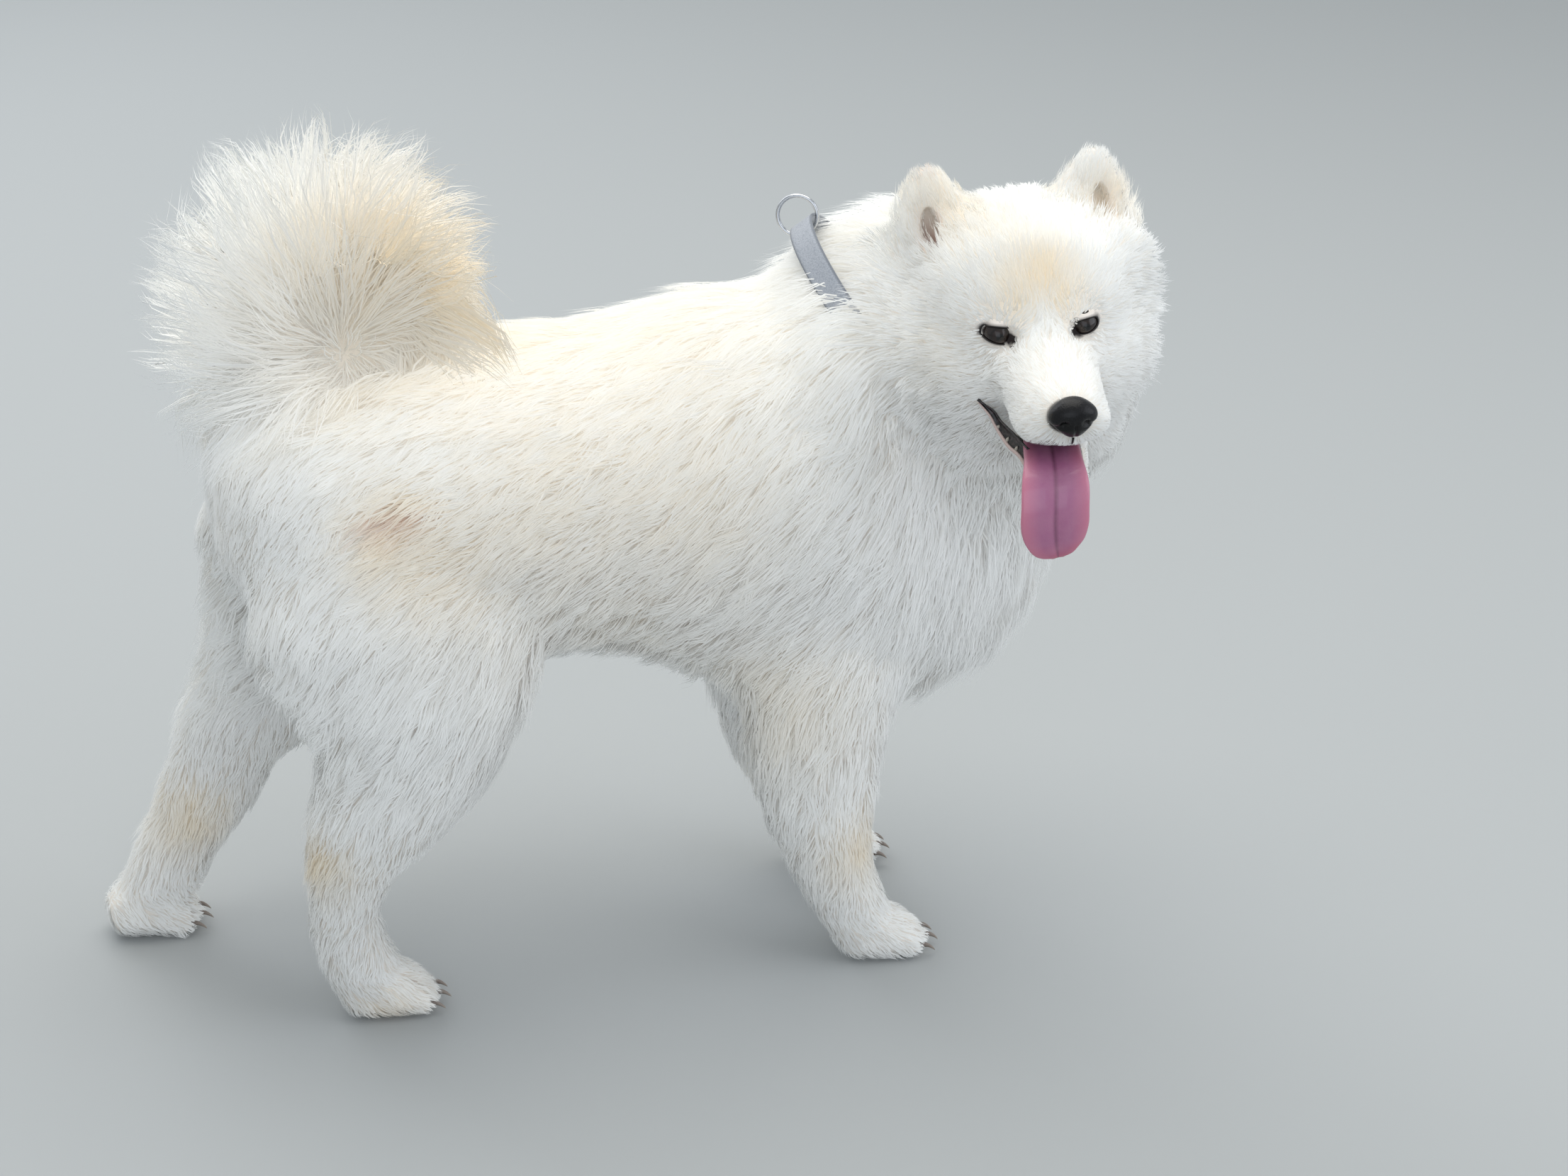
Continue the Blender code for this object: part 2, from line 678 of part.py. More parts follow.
def make_strap(name, grow):
    half_height = (COLLAR_TOP - COLLAR_THROAT).length / 2
    shape = bmesh.new()
    loops = []
    for level in (-0.5, 0.5):
        size = Matrix.Diagonal((COLLAR_HALF_WIDTH, half_height, 1.0, 1.0))
        lift = Matrix.Translation((0.0, 0.0, level * (STRAP_WIDTH + 2 * grow)))
        made = bmesh.ops.create_circle(shape, segments=28, radius=1.0, matrix=collar_frame() @ lift @ size)
        verts = set(made["verts"])
        loops += [edge for edge in shape.edges if edge.verts[0] in verts and edge.verts[1] in verts]
    bmesh.ops.bridge_loops(shape, edges=loops)
    strap = as_object(name, shape, collection="cutters" if grow else "samoyed")
    wall = strap.modifiers.new("webbing", "SOLIDIFY")
    wall.thickness = STRAP_THICKNESS + 2 * grow
    wall.offset = 0.0
    return applied(strap)


def make_ring(name, grow):
    rise = 0.0062
    spot = Matrix.Translation(COLLAR_TOP) @ collar_frame().to_3x3().to_4x4()
    spot = spot @ Matrix.Translation((0.0, rise, 0.0)) @ Matrix.Rotation(radians(90.0), 4, "Y")
    bpy.ops.mesh.primitive_torus_add(
        major_radius=RING_RADIUS, minor_radius=RING_WIRE + grow, major_segments=18, minor_segments=6)
    ring = bpy.context.object
    ring.name = name
    ring.data.name = name
    for holder in list(ring.users_collection):
        holder.objects.unlink(ring)
    bpy.data.collections["cutters" if grow else "samoyed"].objects.link(ring)
    ring.data.transform(spot)
    return ring


def finish_all():
    coat = material("coat", (0.86, 0.84, 0.80), 0.85)
    finishes = {
        "eye": material("eye", (0.02, 0.012, 0.01), 0.05),
        "nose": material("nose_leather", (0.015, 0.014, 0.016), 0.35),
        "tongue": material("tongue", (0.62, 0.22, 0.30), 0.3),
        "claw": material("claw_horn", (0.12, 0.09, 0.08), 0.4),
        "collar_strap": material("webbing", (0.55, 0.57, 0.60), 0.8),
        "collar_ring": material("steel", (0.6, 0.6, 0.62), 0.25, 1.0),
    }
    for item in bpy.data.collections["samoyed"].objects:
        chosen = coat
        for start, finish in finishes.items():
            if item.name.startswith(start):
                chosen = finish
        item.data.materials.clear()
        item.data.materials.append(chosen)
        item.data.set_sharp_from_angle(angle=pi / 4)


def stand_on_origin():
    """The origin is the middle of the bottom of the whole dog's box."""
    items = list(bpy.data.collections["samoyed"].objects)
    spots = [vertex.co for item in items for vertex in item.data.vertices]
    middle_x = (min(spot.x for spot in spots) + max(spot.x for spot in spots)) / 2
    middle_y = (min(spot.y for spot in spots) + max(spot.y for spot in spots)) / 2
    everything = items + list(bpy.data.collections["cutters"].objects)
    for item in everything:
        item.data.transform(Matrix.Translation((-middle_x, -middle_y, 0.0)))
    print("moved by", -middle_x, -middle_y)


def build():
    fresh_scene()
    coat = cut_to_floor(coarsened(whole_coat()))
    part_tail(coat)
    part_ears(coat)
    head, jaw = part_head(coat)
    part_legs(coat)
    part_trunk(coat)
    carve_orbits(head)
    fitted("eye_right", eye_maker(1), head)
    fitted("eye_left", eye_maker(-1), head)
    fitted("nose", make_nose, head)
    fitted("tongue", make_tongue, head, jaw)
    make_claws()
    neck = bpy.data.objects["neck"]
    fitted("collar_strap", make_strap, neck, coat, head)
    fitted("collar_ring", make_ring, neck, coat)
    finish_all()
    stand_on_origin()


build()
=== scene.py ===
# %% [markdown]
# A samoyed, life size, standing with its head turned to its right.
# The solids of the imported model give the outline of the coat. This lesson puts the looks on them:
# one smooth skin inside the outline, then tens of thousands of small solid tufts combed over it,
# and the bare parts of the head, the claws and the collar as pieces of their own.

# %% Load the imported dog
import json
from math import cos, pi, radians, sin, sqrt, tau

import bmesh
import bpy
import numpy as np
from mathutils import Matrix, Vector
from mathutils.bvhtree import BVHTree
from mathutils.kdtree import KDTree


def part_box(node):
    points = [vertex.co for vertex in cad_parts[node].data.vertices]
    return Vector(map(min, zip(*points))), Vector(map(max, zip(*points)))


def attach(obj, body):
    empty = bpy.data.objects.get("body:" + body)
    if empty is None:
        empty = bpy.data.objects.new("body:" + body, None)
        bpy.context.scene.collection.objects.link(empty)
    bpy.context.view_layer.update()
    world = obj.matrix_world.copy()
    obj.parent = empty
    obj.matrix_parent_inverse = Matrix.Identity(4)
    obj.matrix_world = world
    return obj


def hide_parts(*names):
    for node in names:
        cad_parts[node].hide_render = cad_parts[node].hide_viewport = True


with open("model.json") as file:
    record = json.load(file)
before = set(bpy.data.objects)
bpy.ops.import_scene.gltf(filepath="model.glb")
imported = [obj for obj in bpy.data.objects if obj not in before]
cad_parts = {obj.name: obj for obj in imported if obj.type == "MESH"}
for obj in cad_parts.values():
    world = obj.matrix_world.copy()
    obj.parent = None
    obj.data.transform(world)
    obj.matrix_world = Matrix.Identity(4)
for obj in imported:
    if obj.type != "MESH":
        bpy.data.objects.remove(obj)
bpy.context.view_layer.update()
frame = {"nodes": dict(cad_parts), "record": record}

MM = 0.001
record = frame["record"]
flesh = [part["node"] for part in record["subparts"] if part["material_slot"] == "coat"]
print("loaded", len(frame["nodes"]), "nodes,", len(flesh), "of them flesh and coat")

# %% [markdown]
# Two frames are handy. The dog's own frame has x ahead, y to its left and z up, as in the solids.
# The head is turned and tilted, so its parts are easier to place in a frame of its own, with x to
# the dog's right, y forward along the muzzle and z up, from a point between the eyes. The eyes of the
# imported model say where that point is.

# %% The head's frame
SHIFT = Vector((0.04221, 0.05899, 0.0))
HEAD_TURN = 98.0
HEAD_TILT = 3.5
EYE_DEPTH = 4.5 * MM


def middle(node):
    low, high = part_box(node)
    return (low + high) / 2


turn = Matrix.Rotation(radians(-HEAD_TURN - 90.0), 4, "Z") @ Matrix.Rotation(radians(HEAD_TILT), 4, "Y")
between_eyes = (middle("eye_right") + middle("eye_left")) / 2 + turn @ Vector((0.0, EYE_DEPTH, 0.0))
HEAD = Matrix.Translation(between_eyes) @ turn
into_head = np.array(HEAD.inverted())
head_axes = np.array(HEAD)[:3, :3]
print("between the eyes:", [round(value, 3) for value in between_eyes])


def to_head(points):
    return points @ into_head[:3, :3].T + into_head[:3, 3]


def to_world(directions):
    return directions @ head_axes.T


# %% [markdown]
# The camera stands where the photographer stood: a little over a metre up, on the dog's right, with a
# short telephoto lens. Its place and aim were worked out from the feet, the eyes and the tail.

# %% Camera
CAMERA_PLACE = Vector((-0.58642, -2.18857, 1.38655)) + SHIFT
CAMERA_AIM = Vector((0.08459, -0.03573, 0.30293)) + SHIFT
LENS_MM = 74.25

camera_data = bpy.data.cameras.new("camera")
camera_data.lens = LENS_MM
camera_data.sensor_width = 36.0
camera = bpy.data.objects.new("camera", camera_data)
camera.location = CAMERA_PLACE
camera.rotation_euler = (CAMERA_AIM - CAMERA_PLACE).to_track_quat("-Z", "Y").to_euler()
bpy.context.scene.collection.objects.link(camera)
bpy.context.scene.camera = camera
print("camera is", round((CAMERA_AIM - CAMERA_PLACE).length, 2), "m from its aim")

# %% [markdown]
# Colours are written as sRGB hex, the way a paint chart gives them, and turned to linear light here.
# One small function adds a shader node with its settings and links.

# %% Helpers for materials
def linear(code):
    parts = [int(code[at:at + 2], 16) / 255 for at in (0, 2, 4)]
    light = [part / 12.92 if part <= 0.04045 else ((part + 0.055) / 1.055) ** 2.4 for part in parts]
    return (*light, 1.0)


def add(tree, kind, links=None, **settings):
    node = tree.nodes.new(kind)
    for name, value in settings.items():
        setattr(node, name, value)
    for name, value in (links or {}).items():
        if isinstance(value, bpy.types.NodeSocket):
            tree.links.new(value, node.inputs[name])
        else:
            node.inputs[name].default_value = value
    return node


def new_material(name, **sockets):
    """A Principled material with constant sockets; returns it with its tree and shader."""
    made = bpy.data.materials.new(name)
    made.use_nodes = True
    shader = made.node_tree.nodes["Principled BSDF"]
    for socket, value in sockets.items():
        shader.inputs[socket.replace("_", " ")].default_value = value
    return made, made.node_tree, shader

# %% [markdown]
# The skin. On the dog one skin runs from nose to tail, so the model needs one surface without seams.
# A voxel remesh fuses the parted solids into one closed mesh. Each solid is swollen a little first, so
# that the thin cuts between them close. Smoothing then takes out the facets, and what it took from the
# dog's volume is given back. Last, the surface is moved in by the depth of the coat.

# %% Fuse the solids
VOXEL = 3.4 * MM
SWELL = 1.5 * MM
JAW_SWELL = 0.5 * MM
bare_solids = ["eye_right", "eye_left", "nose"]


def swollen_copy(node):
    shape = bmesh.new()
    shape.from_mesh(frame["nodes"][node].data)
    bmesh.ops.remove_doubles(shape, verts=shape.verts, dist=0.01 * MM)
    shape.normal_update()
    for vertex in shape.verts:
        vertex.co += vertex.normal * (JAW_SWELL if node == "lower_jaw" else SWELL)
    mesh = bpy.data.meshes.new(node + "_copy")
    shape.to_mesh(mesh)
    shape.free()
    return mesh


fused = bmesh.new()
for node in flesh + bare_solids:
    mesh = swollen_copy(node)
    fused.from_mesh(mesh)
    bpy.data.meshes.remove(mesh)
skin_mesh = bpy.data.meshes.new("skin")
fused.to_mesh(skin_mesh)
fused.free()
skin = bpy.data.objects.new("skin", skin_mesh)
bpy.context.scene.collection.objects.link(skin)
remesh = skin.modifiers.new("fuse", "REMESH")
remesh.mode = "VOXEL"
remesh.voxel_size = VOXEL
bpy.context.view_layer.update()
whole = bpy.data.meshes.new_from_object(skin.evaluated_get(bpy.context.evaluated_depsgraph_get()))
skin.modifiers.clear()
skin.data = whole
print("fused skin has", len(whole.vertices), "vertices")

# %% Keep the largest closed surface, with a finer mesh on the face
def finer_face(shape):
    """Halve the faces of the face and ears, so that lids, lips and ears have crisp edges."""
    inverse = HEAD.inverted()
    spots = {vert: inverse @ vert.co for vert in shape.verts}
    chosen = [edge for edge in shape.edges if all(
        abs(spots[vert].x) < 0.088 and -0.118 < spots[vert].z < 0.12
        and spots[vert].y > (-0.12 if spots[vert].z > 0.035 else -0.030) for vert in edge.verts)]
    bmesh.ops.subdivide_edges(shape, edges=chosen, cuts=1, use_grid_fill=True)


def largest_only(mesh):
    shape = bmesh.new()
    shape.from_mesh(mesh)
    shape.verts.ensure_lookup_table()
    label = [-1] * len(shape.verts)
    groups = []
    for start in shape.verts:
        if label[start.index] >= 0:
            continue
        group = [start]
        label[start.index] = len(groups)
        for here in group:
            for edge in here.link_edges:
                other = edge.other_vert(here)
                if label[other.index] < 0:
                    label[other.index] = len(groups)
                    group.append(other)
        groups.append(group)
    groups.sort(key=len)
    for group in groups[:-1]:
        bmesh.ops.delete(shape, geom=group, context="VERTS")
    finer_face(shape)
    bmesh.ops.triangulate(shape, faces=shape.faces)
    shape.to_mesh(mesh)
    shape.free()
    return len(groups)


print("closed surfaces found:", largest_only(whole))

# %% Read the mesh into arrays
def read(sequence, name, width, kind=np.float64):
    values = np.empty(len(sequence) * width, kind)
    sequence.foreach_get(name, values)
    return values.reshape(-1, width) if width > 1 else values


skin_points = read(whole.vertices, "co", 3)
skin_edges = read(whole.edges, "vertices", 2, np.int32)
skin_faces = read(whole.loops, "vertex_index", 1, np.int32).reshape(-1, 3)
ways = np.bincount(skin_edges.ravel(), minlength=len(skin_points))[:, None]


def spread(values):
    """The mean of each vertex's neighbours."""
    near, far = skin_edges[:, 0], skin_edges[:, 1]
    total = np.empty_like(values)
    for column in range(values.shape[1]):
        one = values[:, column]
        total[:, column] = np.bincount(near, one[far], len(one)) + np.bincount(far, one[near], len(one))
    return total / ways


def blurred(values, passes):
    for _ in range(passes):
        values = 0.4 * values + 0.6 * spread(values)
    return values


def unit(vectors):
    return vectors / (np.linalg.norm(vectors, axis=-1, keepdims=True) + 1e-12)


def normals_of(points, faces):
    corners = points[faces]
    across = np.cross(corners[:, 1] - corners[:, 0], corners[:, 2] - corners[:, 0])
    total = np.zeros_like(points)
    for corner in range(3):
        for column in range(3):
            total[:, column] += np.bincount(faces[:, corner], across[:, column], len(points))
    return unit(total)


def step(low, high, value):
    """0 below low, 1 above high, and a smooth rise between."""
    share = np.clip((value - low) / (high - low), 0.0, 1.0)
    return share * share * (3.0 - 2.0 * share)


# %% [markdown]
# Grooming zones. A groomer thinks of the dog in zones, and so does this script. Each zone names its
# solids and says how deep the coat is, how long and wide a tuft is, how much neighbouring tufts gather
# into locks, and how ragged the outline is. The borders are blurred over the skin, more on the body,
# where the coat grows longer little by little, than on the face, ears and feet.

# %% The zones of the coat
# zone: depth, length and width of a tuft in mm, tufts per square cm, gathering, ragged mm, smoothing
ZONES = {
    "head": (5.0, 17.0, 1.15, 32.0, 0.25, 3.5, 26),
    "jaw": (3.0, 10.0, 1.00, 34.0, 0.20, 1.0, 12),
    "ear": (3.5, 14.0, 0.90, 44.0, 0.15, 5.5, 9),
    "neck": (12.0, 56.0, 1.65, 20.0, 0.45, 13.5, 30),
    "chest": (10.0, 44.0, 1.65, 15.0, 0.42, 7.5, 34),
    "loin": (8.0, 34.0, 1.60, 15.0, 0.32, 4.0, 34),
    "thigh": (10.0, 44.0, 1.65, 14.0, 0.45, 8.0, 26),
    "upper": (8.0, 32.0, 1.50, 15.0, 0.38, 6.0, 18),
    "lower": (5.0, 19.0, 1.20, 22.0, 0.25, 3.5, 10),
    "paw": (3.5, 13.0, 1.05, 34.0, 0.15, 2.5, 2),
    "tail": (34.0, 102.0, 1.20, 19.0, 0.62, 44.0, 16),
}
SHARP_ZONES = ("head", "jaw", "ear", "paw")
zone_names = list(ZONES)


def zone_of(node):
    for name in ("ear", "jaw", "tail", "paw", "upper", "thigh", "neck", "chest", "loin"):
        if name in node:
            return zone_names.index(name)
    return zone_names.index("lower" if "leg" in node else "head")


corners = []
triangles = []
labels = []
for node in flesh + bare_solids:
    data = frame["nodes"][node].data
    first = len(corners)
    corners += [vertex.co.copy() for vertex in data.vertices]
    for face in data.polygons:
        triangles.append([first + corner for corner in face.vertices])
        labels.append(zone_of(node))
solids = BVHTree.FromPolygons(corners, triangles)
nearest = np.array([labels[solids.find_nearest(Vector(point))[2]] for point in skin_points])
hard = np.eye(len(ZONES))[nearest]
crisp = blurred(hard, 6)
soft = blurred(crisp, 44)
sharp_columns = [zone_names.index(name) for name in SHARP_ZONES]
kept = crisp[:, sharp_columns].sum(axis=1, keepdims=True)
soft[:, sharp_columns] = 0.0
soft *= (1.0 - kept) / (soft.sum(axis=1, keepdims=True) + 1e-9)
share = soft
share[:, sharp_columns] = crisp[:, sharp_columns]
share /= share.sum(axis=1, keepdims=True)
numbers = np.array([ZONES[name] for name in zone_names])
depth, length, width, crowd, gather, ragged, passes = (share @ numbers).T
part_of = {name: share[:, index] for index, name in enumerate(zone_names)}
print("skin vertices by zone:", dict(zip(zone_names, np.bincount(nearest, minlength=len(ZONES)).tolist())))

# %% Smooth away the facets, and give the volume back
outline = skin_points.copy()
for turn_number in range(34):
    pull = 0.5 * (passes > turn_number)[:, None]
    outline += pull * (spread(outline) - outline)
facing = normals_of(outline, skin_faces)


def to_solids(points, normals):
    """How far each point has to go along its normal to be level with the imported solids."""
    gap = np.zeros(len(points))
    for at, point in enumerate(points):
        place = solids.find_nearest(Vector(point))[0]
        gap[at] = (np.array(place) - point) @ normals[at]
    return gap


lost = blurred(to_solids(outline, facing)[:, None], 10)
outline += facing * np.clip(lost, -4.0 * MM, 6.0 * MM)
facing = normals_of(outline, skin_faces)
own = outline - np.array(SHIFT)
in_head = to_head(outline)
print("gave back", round(float(lost.mean()) / MM, 2), "mm on average")

# %% How thick the dog is under each vertex
outline_tree = BVHTree.FromPolygons([Vector(point) for point in outline], skin_faces.tolist())


def thickness_at(points, normals):
    thick = np.full(len(points), 0.2)
    for at, (point, normal) in enumerate(zip(points, normals)):
        inward = Vector(-normal)
        hit = outline_tree.ray_cast(Vector(point) + inward * MM, inward, 0.2)
        if hit[0] is not None:
            thick[at] = hit[3]
    return thick


thick = thickness_at(outline, facing)
print("thinnest place", round(float(thick.min()) / MM, 1), "mm")

# %% Depth and length of the coat at every vertex
NOSE_TIP = np.array((0.0, 0.098, -0.031))
from_nose = np.linalg.norm(in_head - NOSE_TIP, axis=1)
outward = np.abs(in_head[:, 0])
face = part_of["head"]
cheek = face * step(0.050, 0.100, outward) * step(0.085, 0.15, from_nose) * step(0.055, 0.0, in_head[:, 2])
muzzle = step(0.098, 0.060, from_nose) * np.maximum(face, part_of["jaw"])
crown = face * step(0.015, 0.040, in_head[:, 2]) * step(-0.030, -0.070, in_head[:, 1])
depth += 6.0 * cheek - 2.0 * muzzle + 2.0 * crown
length += 30.0 * cheek - 8.0 * muzzle + 9.0 * crown
width += 0.35 * cheek - 0.40 * muzzle
crowd += -8.0 * cheek + 16.0 * muzzle - 5.0 * crown
ragged += 17.0 * cheek - 3.0 * muzzle + 2.0 * crown

rear = np.clip(-facing[:, 0], 0.0, 1.0)
top = np.clip(facing[:, 2], 0.0, 1.0)
bib = part_of["chest"] * step(0.12, 0.27, own[:, 0]) * step(0.50, 0.36, own[:, 2])
belly = (part_of["loin"] + part_of["chest"]) * np.clip(-facing[:, 2], 0.0, 1.0)
feather = rear * (part_of["upper"] + 0.5 * part_of["lower"])
breeches = rear * part_of["thigh"]
depth += 6.0 * bib + 6.0 * breeches + 3.0 * feather - 1.0 * top * part_of["loin"]
length += 16.0 * bib + 20.0 * breeches + 14.0 * feather + 16.0 * belly
ragged += 4.0 * bib + 6.0 * breeches + 5.0 * feather + 6.0 * belly
ear_base = part_of["ear"] * step(0.090, 0.060, in_head[:, 2])
length += 8.0 * ear_base
ragged += 4.0 * ear_base
from_eye = np.linalg.norm(in_head - np.stack((0.032 * np.sign(in_head[:, 0]), 0 * outward, 0 * outward), 1), axis=1)
length = np.minimum(length, 17.0 - 9.0 * step(0.036, 0.018, from_eye) * face + 100.0 * (1.0 - face))


def spotted(points, spots):
    """Soft round spots, each with a place, a reach in mm and a strength, blended like stains."""
    total = np.zeros(len(points))
    for place, reach, strength in spots:
        away = np.linalg.norm(points - np.array(place), axis=1) / (reach * MM)
        total = 1.0 - (1.0 - total) * (1.0 - strength * np.exp(-away * away))
    return total


# where the coat is puffed out over the outline, in the head's frame: the mane behind the near ear,
# the tufts behind the far ear and the hair that buries the lower part of the collar; then, in the dog's
# own frame, more of the hair over the collar, and where the tail's hair is trimmed at the curl's foot
PUFF_HEIGHT = 12.0
TRIM_DEPTH = 36.0
PUFFS = (
    ((0.090, -0.140, 0.052), 34, 0.90),
    ((-0.090, -0.092, 0.036), 22, 0.95),
    ((0.128, -0.108, 0.024), 36, 1.00),
)
COLLAR_PUFFS = (((0.112, -0.074, 0.536), 30, 1.00), ((0.120, -0.072, 0.525), 26, 0.80), ((0.112, -0.062, 0.552), 24, 0.90))
TAIL_TRIMS = (((-0.098, -0.020, 0.548), 46, 1.00),)
puff = PUFF_HEIGHT * MM * np.maximum(spotted(in_head, PUFFS), 1.6 * spotted(own, COLLAR_PUFFS))
trimmed = part_of["tail"] * spotted(own, TAIL_TRIMS)
puff -= TRIM_DEPTH * MM * trimmed
length -= 55.0 * trimmed
ragged -= 20.0 * trimmed
depth = blurred(np.minimum(depth * MM, 0.28 * thick)[:, None], 6)[:, 0]
skin_points = outline - facing * depth[:, None]
for _ in range(5):
    skin_points += 0.5 * (spread(skin_points) - skin_points)
print("coat depth from", round(depth.min() / MM, 1), "to", round(depth.max() / MM, 1), "mm")

# %% [markdown]
# Markings. The coat is off-white with cream tints on the forehead, the ears, the saddle, the flank, the
# hocks and the inside of the tail. A fold on the right thigh and the slits of the ears show pink skin, and
# one pink-brown spot at the foot of the tail's curl is painted shade in the crease there.
# Each marking is a soft round spot with a place, a reach in mm and a strength. Skin and tufts read the
# same spots, so they always agree.

# %% The markings, as spots
# in the dog's own frame
CREAM = (
    ((-0.212, -0.04, 0.578), 60, 0.62),
    ((-0.175, -0.02, 0.592), 44, 0.25),
    ((-0.246, -0.07, 0.545), 34, 0.55),
    ((-0.123, 0.014, 0.525), 85, 0.24),
    ((0.020, -0.040, 0.520), 80, 0.20),
    ((-0.110, -0.120, 0.440), 90, 0.27),
    ((0.010, -0.130, 0.420), 70, 0.22),
    ((-0.060, -0.120, 0.300), 50, 0.22),
    ((-0.225, -0.120, 0.436), 34, 0.50),
    ((-0.190, -0.115, 0.400), 40, 0.30),
    ((-0.297, -0.095, 0.165), 26, 0.60),
    ((-0.370, 0.082, 0.114), 28, 0.60),
    ((0.122, -0.118, 0.118), 30, 0.45),
    ((0.120, 0.060, 0.115), 34, 0.35),
    ((-0.250, -0.080, 0.010), 22, 0.35),
    ((0.060, -0.120, 0.260), 60, 0.25),
    ((-0.120, 0.120, 0.440), 90, 0.32),
)
PINK_AND_CREASE_SHADE = (
    ((-0.238, -0.117, 0.437), 11, 0.26),
    ((-0.221, -0.121, 0.434), 11, 0.32),
    ((-0.204, -0.121, 0.437), 10, 0.24),
    # painted shade: this spot darkens the crease between the tail's curl and the back
    ((-0.228, -0.070, 0.556), 11, 0.28),
)
# in the head's frame
HEAD_CREAM = (
    ((-0.004, -0.010, 0.040), 22, 0.48),
    ((0.018, 0.000, 0.026), 16, 0.38),
    ((-0.016, 0.000, 0.026), 17, 0.35),
    ((0.026, -0.050, 0.060), 30, 0.22),
    ((0.056, -0.085, 0.075), 24, 0.30),
    ((0.050, -0.076, 0.052), 14, 0.40),
    ((-0.066, -0.082, 0.060), 20, 0.50),
    ((0.070, -0.020, -0.020), 26, 0.12),
)
HEAD_PINK = (
    ((0.064, -0.072, 0.064), 7, 0.85),
    ((0.064, -0.068, 0.052), 7, 0.85),
    ((0.063, -0.090, 0.104), 11, 0.20),
    ((-0.066, -0.074, 0.066), 6, 0.60),
    ((-0.066, -0.070, 0.056), 6, 0.50),
)


def marking(points, own_spots, head_spots):
    in_own = spotted(points - np.array(SHIFT), own_spots)
    return 1.0 - (1.0 - in_own) * (1.0 - spotted(to_head(points), head_spots))


# %% [markdown]
# The lie of the coat. Hair grows away from the nose, back over the head, down the neck and the legs and
# back along the body. On the tail it sprays out from the root of the curl. One direction for each zone,
# blended with the same soft borders as the numbers, gives a field without breaks.

# %% The lie of the coat
TAIL_FAN = np.array((-0.243, 0.0, 0.521))


def row(x, y, z, like):
    return np.tile((x, y, z), (len(like), 1)).astype(float)


def lies(points):
    """A direction for each zone at each point, as (zones, points, 3) in the world's axes."""
    one = points - np.array(SHIFT)
    in_face = to_head(points)
    side = np.sign(one[:, 1])[:, None]
    away = unit(in_face - NOSE_TIP)
    beside = step(0.045, 0.095, np.abs(in_face[:, 0]))
    away[:, 2] -= 0.50 * beside
    away[:, 1] -= 0.30 * beside
    off_eye = in_face - np.stack((0.032 * np.sign(in_face[:, 0]), 0 * side[:, 0], 0 * side[:, 0]), axis=1)
    by_eye = step(0.034, 0.014, np.linalg.norm(off_eye, axis=1))[:, None]
    away = away + 2.2 * by_eye * unit(off_eye * np.array((1.0, 0.3, 1.0)))
    fields = {"head": to_world(away), "jaw": to_world(row(0.0, -1.0, -0.45, one))}
    fields["ear"] = to_world(row(0.0, -0.10, 1.0, one) + 0.35 * np.sign(in_face[:, :1]) * row(1.0, 0.0, 0.0, one))
    mane = unit(in_face - np.array((0.0, 0.03, 0.02)))
    fields["neck"] = 0.75 * to_world(mane) + row(-0.30, 0.0, -0.75, one)
    front = step(0.08, 0.24, one[:, 0])[:, None]
    fields["chest"] = row(-0.75, 0.0, -0.65, one) * (1 - front) + row(-0.05, 0.0, -1.0, one) * front
    rump = step(-0.22, -0.33, one[:, 0])[:, None]
    low = step(0.42, 0.30, one[:, 2])[:, None]
    fields["loin"] = row(-1.0, 0.0, -0.40, one) * (1 - rump) + row(-0.55, 0.0, -0.85, one) * rump
    fields["loin"] += 0.25 * side * row(0.0, 1.0, 0.0, one) - 0.5 * low * row(0.0, 0.0, 1.0, one)
    fields["thigh"] = row(-0.60, 0.0, -0.80, one) + 0.1 * side * row(0.0, 1.0, 0.0, one)
    fields["upper"] = row(-0.25, 0.0, -1.0, one)
    hind = (one[:, 0] < -0.05)[:, None]
    fields["lower"] = np.where(hind, row(-0.34, 0.0, -0.95, one), row(-0.03, 0.0, -1.0, one))
    fields["paw"] = row(0.70, 0.0, -0.60, one)
    spoke = unit((one - TAIL_FAN) * np.array((1.0, 0.35, 1.0)))
    ahead = step(-0.02, 0.07, one[:, 0] - TAIL_FAN[0])[:, None]
    round_curl = np.stack((spoke[:, 2], np.zeros(len(one)), -spoke[:, 0]), axis=1)
    fields["tail"] = spoke + 0.75 * ahead * round_curl - 0.15 * (1.0 - ahead) * row(0.0, 0.0, 1.0, one)
    return np.stack([unit(fields[name]) for name in zone_names])


skin_normal = normals_of(skin_points, skin_faces)
lie = np.einsum("vz,zvc->vc", share, lies(skin_points))
lie = unit(blurred(lie, 4))
rising = np.sum(lie * skin_normal, axis=1)
field = blurred(lie - skin_normal * rising[:, None], 4)
field = unit(field - skin_normal * np.sum(field * skin_normal, axis=1, keepdims=True))
print("combed", len(field), "vertices")

# %% [markdown]
# Some of the skin is bare: under the eyes, the nose and the soles, and inside the mouth, whose lining is
# painted near-black as shade, as is the skin round the eyeballs. Hollows are pressed into it for the slits
# of the ears, the gaps between the toes and the fold on the thigh, and painted shade darkens them.

# %% The lines of the lips
# x, y, z in mm in the head's frame, from the corner of the mouth to beside the tongue
UPPER_LIP = (
    (50.5, 6.4, -46.3), (40.6, 12.0, -52.6), (36.2, 18.0, -59.5), (30.6, 33.0, -63.6), (26.2, 45.0, -67.4),
    (24.6, 54.0, -67.8),
)
LOWER_LIP = (
    (49.6, 6.4, -47.8), (42.6, 11.0, -57.4), (39.0, 15.0, -65.6), (33.5, 28.0, -75.0), (27.5, 40.0, -79.5),
    (23.4, 54.0, -88.0),
)
FAR_OPENING = 0.35
SINK_FAR = np.array((4.0, 3.0, 0.0)) * MM


